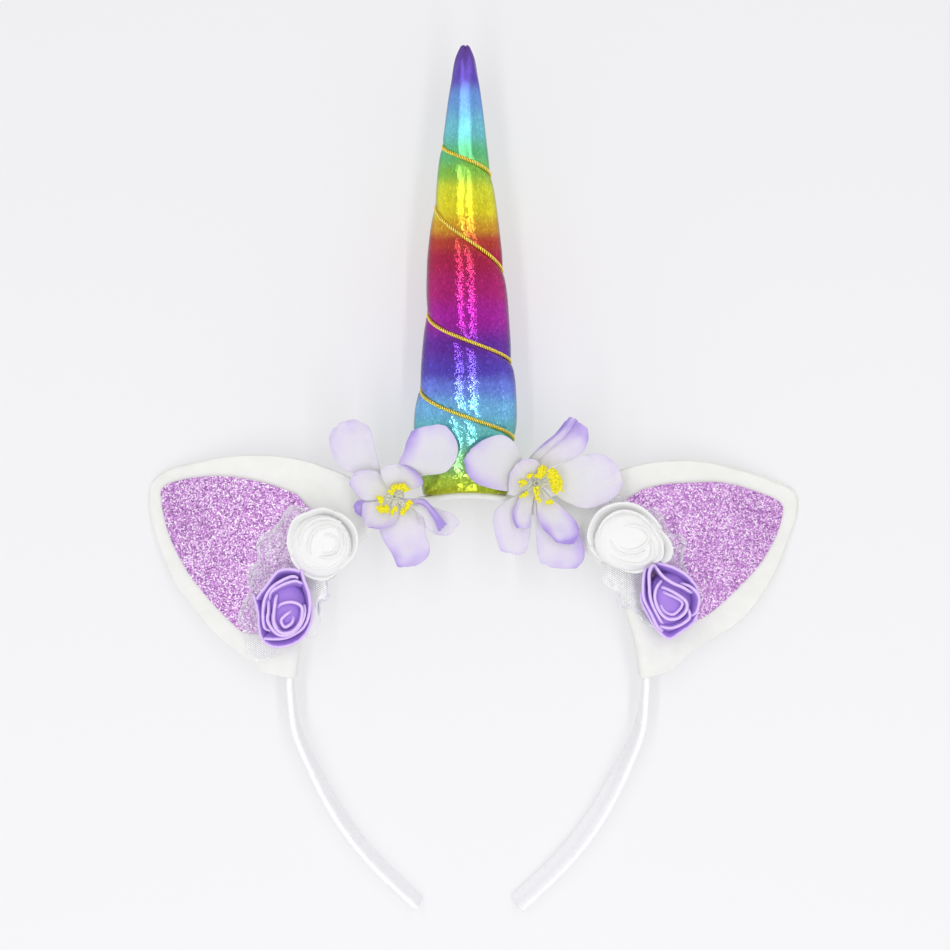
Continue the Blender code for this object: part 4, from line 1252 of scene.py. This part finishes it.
# ---------------------------------------------------------------- silk flowers
# Each petal's left and right edge from the middle outwards, as seen at a height of 12.
FLOWER_LEFT_PETALS = (
    ("upper_left", ((-25.2, 66.5), (-28.6, 69.3), (-35.2, 72.2), (-40.3, 74.0), (-44.0, 78.1), (-45.5, 83.8), (-44.1, 87.6)), ((-24.1, 66.5), (-25.5, 69.3), (-27.9, 71.3), (-29.1, 76.2), (-31.0, 83.8), (-32.7, 88.3), (-36.8, 90.8))),
    ("over_horn", ((-24.5, 66.5), (-24.1, 70.0), (-23.1, 74.8), (-21.3, 79.8), (-19.8, 83.8), (-18.4, 86.7)), ((-22.8, 66.5), (-20.3, 69.3), (-15.1, 71.9), (-7.5, 73.1), (-4.2, 76.7), (-3.0, 81.4), (-4.1, 85.3), (-7.0, 88.6))),
    ("lower_right_pale", ((-22.4, 64.4), (-18.6, 62.3), (-13.4, 62.3), (-8.9, 60.9), (-4.8, 59.2), (-2.8, 56.7)), ((-23.1, 64.0), (-20.7, 60.2), (-17.2, 56.7), (-13.4, 54.5), (-11.0, 52.4), (-6.9, 51.7))),
    ("lower", ((-25.9, 64.4), (-28.0, 59.5), (-29.4, 55.4), (-28.0, 51.2), (-25.2, 46.6), (-23.2, 42.1)), ((-22.4, 64.4), (-18.6, 61.6), (-14.5, 58.1), (-13.7, 52.6), (-12.3, 48.4), (-13.1, 45.0), (-15.9, 42.8))),
    ("inner_top", ((-25.2, 66.1), (-26.9, 68.6), (-28.1, 71.3), (-28.4, 73.8), (-26.7, 75.4)), ((-22.4, 66.1), (-19.3, 67.2), (-14.8, 68.9), (-15.3, 71.7), (-17.5, 74.0), (-20.3, 75.4))),
    ("inner_left", ((-25.2, 65.8), (-29.0, 64.4), (-33.7, 63.8), (-36.9, 66.5), (-38.8, 69.1)), ((-24.5, 66.5), (-26.2, 70.0), (-28.6, 72.7), (-31.0, 74.1), (-34.8, 73.8), (-37.6, 72.6))),
    ("left_fold", ((-33.8, 64.4), (-36.3, 63.6), (-37.4, 62.3)), ((-33.3, 58.8), (-35.2, 58.5), (-37.0, 60.2))),
    ("lower_left", ((-25.2, 65.4), (-29.7, 63.7), (-34.2, 63.0), (-34.8, 59.5), (-34.4, 56.4)), ((-23.1, 64.4), (-22.4, 60.9), (-23.5, 57.4), (-25.2, 55.5), (-29.0, 54.5), (-32.1, 54.9))),
    ("fold_line", ((-21.7, 64.7), (-17.2, 64.4), (-14.1, 64.3), (-10.3, 60.4), (-7.0, 56.0)), ((-22.1, 64.0), (-17.9, 63.0), (-14.5, 62.0), (-11.4, 58.1), (-9.6, 53.6))),
)
FLOWER_RIGHT_PETALS = (
    ("over_horn", ((21.5, 69.3), (17.4, 67.9), (13.6, 67.0), (8.4, 67.7), (2.8, 69.4), (-0.3, 72.7), (-1.3, 76.9)), ((22.2, 70.6), (20.4, 74.1), (18.0, 77.4), (16.3, 81.4), (13.5, 84.6), (10.1, 85.7), (5.2, 83.9), (1.1, 80.5))),
    ("upper_right", ((21.8, 70.6), (20.1, 74.1), (19.8, 77.2), (23.5, 81.6), (29.0, 86.2), (32.1, 90.4)), ((23.6, 70.6), (26.3, 74.1), (29.8, 76.2), (33.9, 77.7), (37.5, 79.8), (39.5, 83.8), (39.5, 87.8))),
    ("right", ((23.6, 70.6), (27.0, 73.4), (31.8, 76.3), (38.0, 78.8), (43.2, 79.2), (47.7, 77.0)), ((23.9, 69.3), (27.7, 66.5), (31.9, 63.6), (37.4, 61.5), (43.3, 62.3), (48.1, 65.0), (50.7, 69.3))),
    ("back_lower_left", ((21.5, 69.3), (16.0, 65.8), (10.4, 62.3), (8.5, 59.2), (8.9, 52.6), (10.8, 47.3)), ((22.5, 68.6), (21.5, 62.3), (20.8, 55.4), (20.3, 49.8), (18.4, 46.1))),
    ("back_lower", ((22.5, 68.6), (21.5, 62.3), (22.2, 54.0), (22.9, 47.7), (24.0, 43.1)), ((24.3, 68.6), (29.8, 62.3), (35.4, 55.4), (38.0, 49.8), (38.3, 44.5), (35.8, 41.5))),
    ("inner_top", ((20.8, 67.9), (16.7, 66.5), (13.9, 65.9), (13.3, 69.3), (14.0, 73.1)), ((23.2, 70.6), (23.9, 74.1), (23.4, 76.3), (21.1, 77.6), (18.0, 77.2))),
    ("lower_left", ((20.8, 67.9), (17.7, 65.8), (15.6, 62.3), (14.6, 58.1), (15.9, 55.0)), ((22.5, 67.5), (21.5, 63.7), (20.8, 58.8), (20.3, 55.0))),
    ("lower_right", ((21.8, 67.9), (22.6, 63.0), (23.3, 58.1), (25.0, 54.3), (28.8, 50.3)), ((23.9, 68.2), (27.7, 64.4), (32.9, 59.9), (36.1, 56.4), (36.6, 52.6), (35.1, 49.4))),
    ("upper_fold", ((20.8, 76.2), (21.1, 78.4), (24.9, 82.1), (29.7, 86.6), (33.3, 91.3)), ((22.5, 76.2), (24.9, 78.8), (29.7, 82.8), (33.9, 86.6), (36.3, 90.2))),
)
# Clumps of anther grains: the line through the clump, half its width, and the grains in it.
ANTHERS_LEFT = (
    (((-25.5, 66.3), (-24.6, 67.8), (-23.2, 68.7)), 0.75, 22),
    (((-23.2, 68.7), (-21.3, 68.7), (-19.5, 67.7)), 0.85, 28),
    (((-18.9, 63.8), (-19.7, 62.7), (-20.5, 61.4), (-21.5, 59.8)), 0.80, 34),
    (((-24.0, 61.7), (-24.5, 60.1)), 0.70, 14),
    (((-28.7, 61.3), (-27.5, 61.2), (-26.3, 61.5)), 1.25, 44),
    (((-29.0, 65.0), (-28.4, 64.0), (-28.0, 63.2)), 0.80, 22),
)
ANTHERS_RIGHT = (
    (((25.0, 74.6), (24.0, 73.4), (23.3, 71.8)), 1.35, 64),
    (((20.8, 72.4), (20.0, 72.0)), 0.60, 8),
    (((18.6, 70.0), (17.8, 69.8)), 0.95, 14),
    (((19.0, 66.1), (17.6, 65.7)), 0.90, 14),
    (((22.5, 68.0), (22.7, 66.2), (23.1, 64.0)), 0.85, 30),
    (((27.4, 64.4), (26.4, 63.3)), 0.80, 12),
    (((27.6, 73.2), (28.4, 71.4), (28.9, 69.8), (29.4, 68.2)), 2.05, 150),
)
# name: layer, heights from the middle to the tip, cup, tint at the tip, on the left edge, on the right edge, overall
PETALS_LEFT = {
    "upper_left": ("back", (7.7, 8.4, 9.6, 11.2, 13.0), 0.9, 0.50, 0.15, 0.10, 0.10),
    "over_horn": ("back", (8.0, 11.0, 15.0, 17.8, 19.0), 0.5, 0.62, 0.72, 0.05, 0.06),
    "lower_right_pale": ("back", (7.7, 7.9, 8.3, 8.8, 9.2), 0.4, 0.25, 0.05, 0.15, 0.10),
    "lower": ("back", (7.9, 8.1, 8.6, 9.4, 10.6), -0.5, 0.95, 0.30, 0.10, 0.22),
    "inner_top": ("front", (8.8, 10.4, 12.2, 13.6, 14.4), 1.1, 0.30, 0.05, 0.85, 0.03),
    "inner_left": ("front", (8.8, 9.3, 10.2, 11.4, 12.6), 0.9, 0.60, 0.25, 0.15, 0.05),
    "left_fold": ("front", (9.4, 9.4, 9.3, 9.1, 8.9), -0.6, 1.0, 0.9, 0.9, 0.85),
    "lower_left": ("front", (8.9, 9.2, 10.0, 11.4, 12.8), 1.5, 1.0, 0.35, 0.55, 0.05),
    "fold_line": ("front", (9.0, 9.6, 10.6, 11.6, 12.0), 1.3, 0.95, 0.8, 0.9, 0.75),
}
PETALS_RIGHT = {
    "over_horn": ("back", (8.0, 11.6, 15.6, 18.0, 19.2), 0.5, 0.90, 0.62, 0.10, 0.06),
    "upper_right": ("back", (7.7, 8.3, 9.4, 10.8, 12.2), 0.8, 1.25, 0.45, 0.15, 0.14),
    "right": ("back", (7.7, 8.1, 8.9, 10.0, 11.2), 0.9, 0.45, 0.10, 0.15, 0.05),
    "back_lower_left": ("back", (7.5, 7.7, 8.1, 8.7, 9.4), -0.4, 0.40, 0.20, 0.10, 0.12),
    "back_lower": ("back", (7.9, 7.9, 8.1, 8.6, 9.2), -0.4, 0.45, 0.10, 0.55, 0.12),
    "inner_top": ("front", (8.8, 10.4, 12.4, 14.0, 15.0), 1.2, 0.35, 0.15, 0.20, 0.05),
    "lower_left": ("front", (8.8, 9.2, 10.0, 11.2, 12.4), 1.6, 0.75, 0.80, 0.10, 0.06),
    "lower_right": ("front", (8.9, 9.5, 10.6, 12.0, 13.2), 0.9, 1.45, 0.55, 0.60, 0.12),
    "upper_fold": ("back", (9.0, 9.6, 10.8, 12.4, 14.0), 0.8, 0.90, 0.75, 0.40, 0.30),
}


def horn_front(x, y):
    """Height of the horn's front there, with the cord, or -99 off it."""
    height = y - HORN_FOOT
    if height < -1.5:
        return -99.0
    height = max(0.0, height)
    base = horn_radius(height, 0.25)
    off = (x - HORN_X) / base
    if abs(off) >= 1.0:
        return -99.0
    turn = math.acos(max(-1.0, min(1.0, -off))) / (2 * math.pi)
    return math.sqrt(1.0 - off * off) * horn_radius(height, turn) + 1.2 * pinch_at(height, turn, 2.2)[0]


def silk_material(name):
    m, shader = new_material(name, roughness=0.55, Sheen_Weight=0.3, Sheen_Roughness=0.45, Specular_IOR_Level=0.35, Subsurface_Weight=0.25, Subsurface_Scale=0.0015)
    shader.inputs["Subsurface Radius"].default_value = (1.0, 0.9, 1.0)
    uv = node(m, "ShaderNodeTexCoord").outputs["UV"]
    violet = attribute(m, "violet")
    wet = noise_tex(m, object_coords(m), 0.22, 3.0, 0.6)
    stain = math_node(m, "ADD", violet, math_node(m, "MULTIPLY", math_node(m, "SUBTRACT", wet, 0.5), 0.22), clamp=True)
    dyed = ramp(m, stain, ((0.0, srgb("#d9d9dd")), (0.22, srgb("#d8d2e2")), (0.5, srgb("#cbbfe4")), (0.8, srgb("#b5a2de")), (1.0, srgb("#a08ad4"))))
    heart = attribute(m, "heart")
    link(m, mix(m, heart, dyed, srgb("#dadbbe")), shader.inputs["Base Color"])
    warp = node(m, "ShaderNodeTexWave", ("Vector", uv), ("Scale", 1.25), ("Distortion", 0.4), ("Detail", 1.0), wave_type="BANDS", bands_direction="X").outputs["Fac"]
    weft = node(m, "ShaderNodeTexWave", ("Vector", uv), ("Scale", 1.25), ("Distortion", 0.4), ("Detail", 1.0), wave_type="BANDS", bands_direction="Y").outputs["Fac"]
    veins = attribute(m, "vein")
    relief = math_node(m, "ADD", math_node(m, "MULTIPLY", math_node(m, "ADD", warp, weft), 0.18), veins)
    link(m, bump(m, relief, 0.4, 0.13), shader.inputs["Normal"])
    return m


def petal(heap, index, hub, left, right, heights, cup, tip, left_tint, right_tint, all_over, seed):
    n, columns = 34, 21
    taken = 12.0
    near_l = along_smooth(left, n)
    near_r = along_smooth(right, n)
    keys = [(k / (len(heights) - 1), h) for k, h in enumerate(heights)]
    points, violets, hearts, veins, uvs = [], [], [], [], []
    for i in range(n):
        u = i / (n - 1)
        h = read_table(keys, u)
        a, b = near_l[i], near_r[i]
        half = np.linalg.norm(b - a) / 2
        ahead = (near_l[min(n - 1, i + 1)] + near_r[min(n - 1, i + 1)]) / 2 - (near_l[max(0, i - 1)] + near_r[max(0, i - 1)]) / 2
        ahead = ahead / max(1e-6, np.linalg.norm(ahead))
        for j in range(columns):
            v = 2.0 * j / (columns - 1) - 1.0
            flat = a + (b - a) * (v + 1) / 2
            flat = flat + ahead * (0.16 * half) * (1 - v * v) * u**5
            flat = flat + (ahead * 0.45 * u**3 + (b - a) / max(1e-6, 2 * half) * 0.35 * v * smooth(u * 1.5)) * wave(v * 2.4, u * 4.5, seed * 1.3, 44) * max(abs(v) ** 3, u**6)
            edge = max(abs(v), u**3)
            ruffle = 0.85 * edge**4 * smooth(u * 1.6) * wave(flat[0] * 0.42, flat[1] * 0.42, seed * 1.7, 40)
            billow = 0.5 * smooth(u * 1.5) * wave(flat[0] * 0.16, flat[1] * 0.16, seed * 2.9, 41)
            z = h + index * 0.14 + cup * 0.16 * half * (v * v - 0.25) * smooth(u * 1.4) + ruffle + billow
            x, y, _ = lift_from(flat[0], flat[1], taken, z)
            floor_z = horn_front(x, y) + 0.75
            if floor_z > z - 1.5:
                gap = z - floor_z
                z = floor_z + (math.log1p(math.exp(gap / 0.5)) * 0.5 if gap < 12 else gap)
                x, y, _ = lift_from(flat[0], flat[1], taken, z)
            points.append((x, y, z))
            strength = (
                all_over
                + 0.62 * tip * smooth((u - 0.50) / 0.50) * (0.55 + 0.45 * edge) * (0.75 + 0.9 * wave(flat[0] * 0.22, flat[1] * 0.22, seed * 3.3, 43))
                + 0.10 * smooth((edge - 0.86) / 0.14)
                + 0.85 * left_tint * smooth((-v - 0.25) / 0.75) * smooth((u - 0.15) / 0.4)
                + 0.85 * right_tint * smooth((v - 0.25) / 0.75) * smooth((u - 0.15) / 0.4)
            )
            violets.append(max(0.0, min(1.0, strength)))
            hearts.append(max(0.0, 1.0 - u / 0.55) ** 1.2 * 0.9 * (1 - all_over))
            veins.append(0.5 + 0.5 * math.cos(v * 20.0 + 2.2 * wave(u * 3, v * 2, seed, 42)) * smooth(u * 2))
            uvs.append((v * half, u * 12.0))
    faces = grid_faces(n, columns)
    heap.add(points, faces, uvs=uvs, violet=violets, heart=hearts, vein=veins)


def make_petals(side, layer, outlines, facts, hub, finish):
    heap = Heap()
    index = 0
    for k, (name, left, right) in enumerate(outlines):
        where, heights, cup, tip, left_tint, right_tint, all_over = facts[name]
        if where != layer:
            continue
        petal(heap, index, hub, left, right, heights, cup, tip, left_tint, right_tint, all_over, k + (0 if side == "left" else 20))
        index += 1
    # The small disc that joins the layer's petals.
    points, faces = [], []
    z0 = 7.6 if layer == "back" else 8.6
    for r in range(4):
        for k in range(24):
            a = 2 * math.pi * k / 24
            far = (0.05, 1.2, 2.3, 3.1)[r] * (1 + 0.05 * math.cos(5 * a))
            points.append((hub[0] + far * math.cos(a), hub[1] + far * math.sin(a), z0 + 0.1 * r))
    heap.add(points, grid_faces(4, 24, closed=True), violet=0.0, heart=0.9, vein=0.5)
    obj = heap.mesh(f"flower_{side}_{layer}_silk")
    if sum(p.normal.z for p in obj.data.polygons) < 0:
        obj.data.flip_normals()
    thicken(obj, 0.26, 0.0, 1)
    obj.data.shade_smooth()
    obj.data.materials.clear()
    obj.data.materials.append(finish)
    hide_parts(f"flower_{side}_{layer}_petals")
    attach(obj, "root")
    return obj


def blob(heap, centre, sizes, rng, part, detail=2):
    bm = bmesh.new()
    bmesh.ops.create_icosphere(bm, subdivisions=detail, radius=1.0)
    turn = Matrix.Rotation(rng.uniform(0, 6.28), 3, "Z") @ Matrix.Rotation(rng.uniform(-0.5, 0.5), 3, "X")
    key = rng.uniform(0, 90)
    points = []
    for v in bm.verts:
        grow = 1.0 + 0.16 * wave(v.co.x * 2.6 + key, v.co.y * 2.6, v.co.z * 2.6, 50)
        p = turn @ Vector((v.co.x * sizes[0], v.co.y * sizes[1], v.co.z * sizes[2])) * grow
        points.append(Vector(centre) + p)
    bm.verts.ensure_lookup_table()
    faces = [tuple(v.index for v in f.verts) for f in bm.faces]
    bm.free()
    heap.add(points, faces, part=part)


def make_stamens(side, hub, anthers, seed):
    rng = random.Random(seed)
    heap = Heap()
    for line, half_width, grains in anthers:
        track = along_smooth(line, 24)
        crown = rng.uniform(13.0, 13.8) + (0.8 if half_width > 1.9 else 0.0)
        for grain in range(grains):
            k = rng.uniform(0, 23)
            mid = track[int(k)]
            a, far = rng.uniform(0, 2 * math.pi), half_width * math.sqrt(rng.uniform(0, 1))
            rise = crown + 0.75 * half_width * (1 - (far / half_width) ** 2) + rng.uniform(-0.35, 0.2)
            x, y, z = lift_from(mid[0] + far * math.cos(a), mid[1] + far * math.sin(a), 15.0, rise)
            s = rng.uniform(0.40, 0.56)
            blob(heap, (x, y, z), (s * 1.35, s, s * 0.85), rng, 1.0, 1)
        for stalk in range(max(2, grains // 9)):
            k = int(rng.uniform(2, 21))
            x, y, z = lift_from(track[k][0], track[k][1], 15.0, crown)
            a = rng.uniform(0, 2 * math.pi)
            x, y = x + 0.5 * half_width * math.cos(a), y + 0.5 * half_width * math.sin(a)
            start = Vector((hub[0] + (x - hub[0]) * 0.16, hub[1] + (y - hub[1]) * 0.16, 8.9))
            end = Vector((x, y, z))
            middle = start.lerp(end, 0.5) + Vector(((x - hub[0]) * 0.05, (y - hub[1]) * 0.05, 0.7))
            path = along_smooth([tuple(start), tuple(middle), tuple(end)], 10)
            pts, fcs = tube_points([tuple(p) for p in path], 0.15, 6)
            heap.add(pts, fcs, part=0.0)
    for k in range(16):
        # Bare filaments between them, with small pale tips.
        a = 2 * math.pi * (k + rng.uniform(-0.3, 0.3)) / 16
        far = rng.uniform(1.8, 3.0)
        top = rng.uniform(11.0, 12.2)
        start = (hub[0] + 0.6 * math.cos(a), hub[1] + 0.6 * math.sin(a), 8.9)
        middle = (hub[0] + 0.5 * far * math.cos(a), hub[1] + 0.5 * far * math.sin(a), 10.8)
        end = (hub[0] + far * math.cos(a), hub[1] + far * math.sin(a), top)
        path = along_smooth([start, middle, end], 9)
        pts, fcs = tube_points([tuple(p) for p in path], 0.13, 6)
        heap.add(pts, fcs, part=0.0)
        blob(heap, end, (0.28, 0.28, 0.28), rng, 0.0, 1)
    blob(heap, (hub[0], hub[1], 9.6), (1.25, 1.25, 1.0), rng, 0.35, 3)
    blob(heap, (hub[0], hub[1], 10.5), (0.55, 0.55, 0.6), rng, 0.7, 2)
    obj = heap.mesh(f"flower_{side}_stamen_cluster")
    outward(obj)
    obj.data.shade_smooth()
    return obj


def stamen_material():
    m, shader = new_material("yellow_stamens", roughness=0.5, Specular_IOR_Level=0.4, Subsurface_Weight=0.1, Subsurface_Scale=0.0006)
    part = attribute(m, "part")
    at = object_coords(m)
    grain = node(m, "ShaderNodeTexVoronoi", ("Vector", at), ("Scale", 5.0)).outputs["Distance"]
    yellow = ramp(m, grain, ((0.0, srgb("#fff84a")), (0.5, srgb("#f6ea1c")), (1.0, srgb("#e6d410"))))
    plain = ramp(m, part, ((0.0, srgb("#efefe6")), (0.3, srgb("#e3e4d8")), (0.5, srgb("#cdcfc0")), (0.75, srgb("#8f9284"))))
    link(m, mix(m, math_node(m, "GREATER_THAN", part, 0.9), plain, yellow), shader.inputs["Base Color"])
    link(m, bump(m, grain, 0.5, 0.12), shader.inputs["Normal"])
    return m


# ---------------------------------------------------------------- assembling
DRESSED = ("band_ribbon", "horn_foil_cover", "gold_twist_cord", "ear_felt_cover_left", "ear_felt_cover_right", "ear_glitter_sheet_left", "ear_glitter_sheet_right")
band = make_band()
horn = make_horn()
cord = make_cord()

felt = felt_material()
glitter = glitter_material()
ears, panels = {}, {}
for side, edge, panel_edge, back_reach in (("left", EAR_LEFT_EDGE, PANEL_LEFT_EDGE, 0.25), ("right", EAR_RIGHT_EDGE, PANEL_RIGHT_EDGE, 0.9)):
    ears[side] = make_ear(side, edge, felt, back_reach)
    panels[side] = make_panel(side, panel_edge, glitter)

# The white foam glows faintly: painted light lifting the shade in its creases.
white_foam = foam_material("white_foam", "#e3e3e2", "#e1e1e0", "#dfdfde", painted_glow=0.09)
purple_foam = foam_material("lavender_foam", "#6f46aa", "#ac88dc", "#e0c6f8")
make_rose("rose_white_left_petals", "rose_white_left", WHITE_LEFT, (-48.2, 49.0), (11.3, 11.4), white_foam, ROSE_FOOT_FULL, 0.8)
make_rose("rose_purple_left_petals", "rose_purple_left", PURPLE_LEFT, (-61.0, 27.6), (9.5, 12.4), purple_foam)
make_rose("rose_white_right_petals", "rose_white_right", WHITE_RIGHT, (53.3, 50.6), (13.2, 10.8), white_foam, ROSE_FOOT_FULL, 0.8)
make_rose("rose_purple_right_petals", "rose_purple_right", PURPLE_RIGHT, (66.5, 29.9), (9.8, 12.0), purple_foam)

net = net_material()
specks, speck_shader = new_material("silver_specks", roughness=0.25, metallic=0.2, Base_Color=(0.93, 0.93, 0.96, 1.0))
make_tulle("left", (-57.0, 37.0), TULLE_LEFT_REACH, net, specks, 3)
make_tulle("right", (58.5, 40.0), TULLE_RIGHT_REACH, net, specks, 4)

pale_silk = silk_material("pale_silk")
lilac_silk = silk_material("lilac_silk")
stamen_finish = stamen_material()
for side, outlines, facts, hub, anthers in (
    ("left", FLOWER_LEFT_PETALS, PETALS_LEFT, (-24.1, 65.0), ANTHERS_LEFT),
    ("right", FLOWER_RIGHT_PETALS, PETALS_RIGHT, (22.7, 69.4), ANTHERS_RIGHT),
):
    make_petals(side, "back", outlines, facts, hub, pale_silk)
    make_petals(side, "front", outlines, facts, hub, lilac_silk)
    stamens = make_stamens(side, hub, anthers, 11 if side == "left" else 12)
    stamens.data.materials.append(stamen_finish)
    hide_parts(f"flower_{side}_stamens")
    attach(stamens, "root")

LOWEST = 0.00003
for piece in [o for o in bpy.data.objects if o.type == "MESH" and o.name in DRESSED]:
    # Nothing sinks into the table: what touches it is pressed flat.
    co = np.empty(len(piece.data.vertices) * 3)
    piece.data.vertices.foreach_get("co", co)
    if co[2::3].min() < LOWEST:
        co[2::3] = np.maximum(co[2::3], LOWEST)
        piece.data.vertices.foreach_set("co", co)
        piece.data.update()
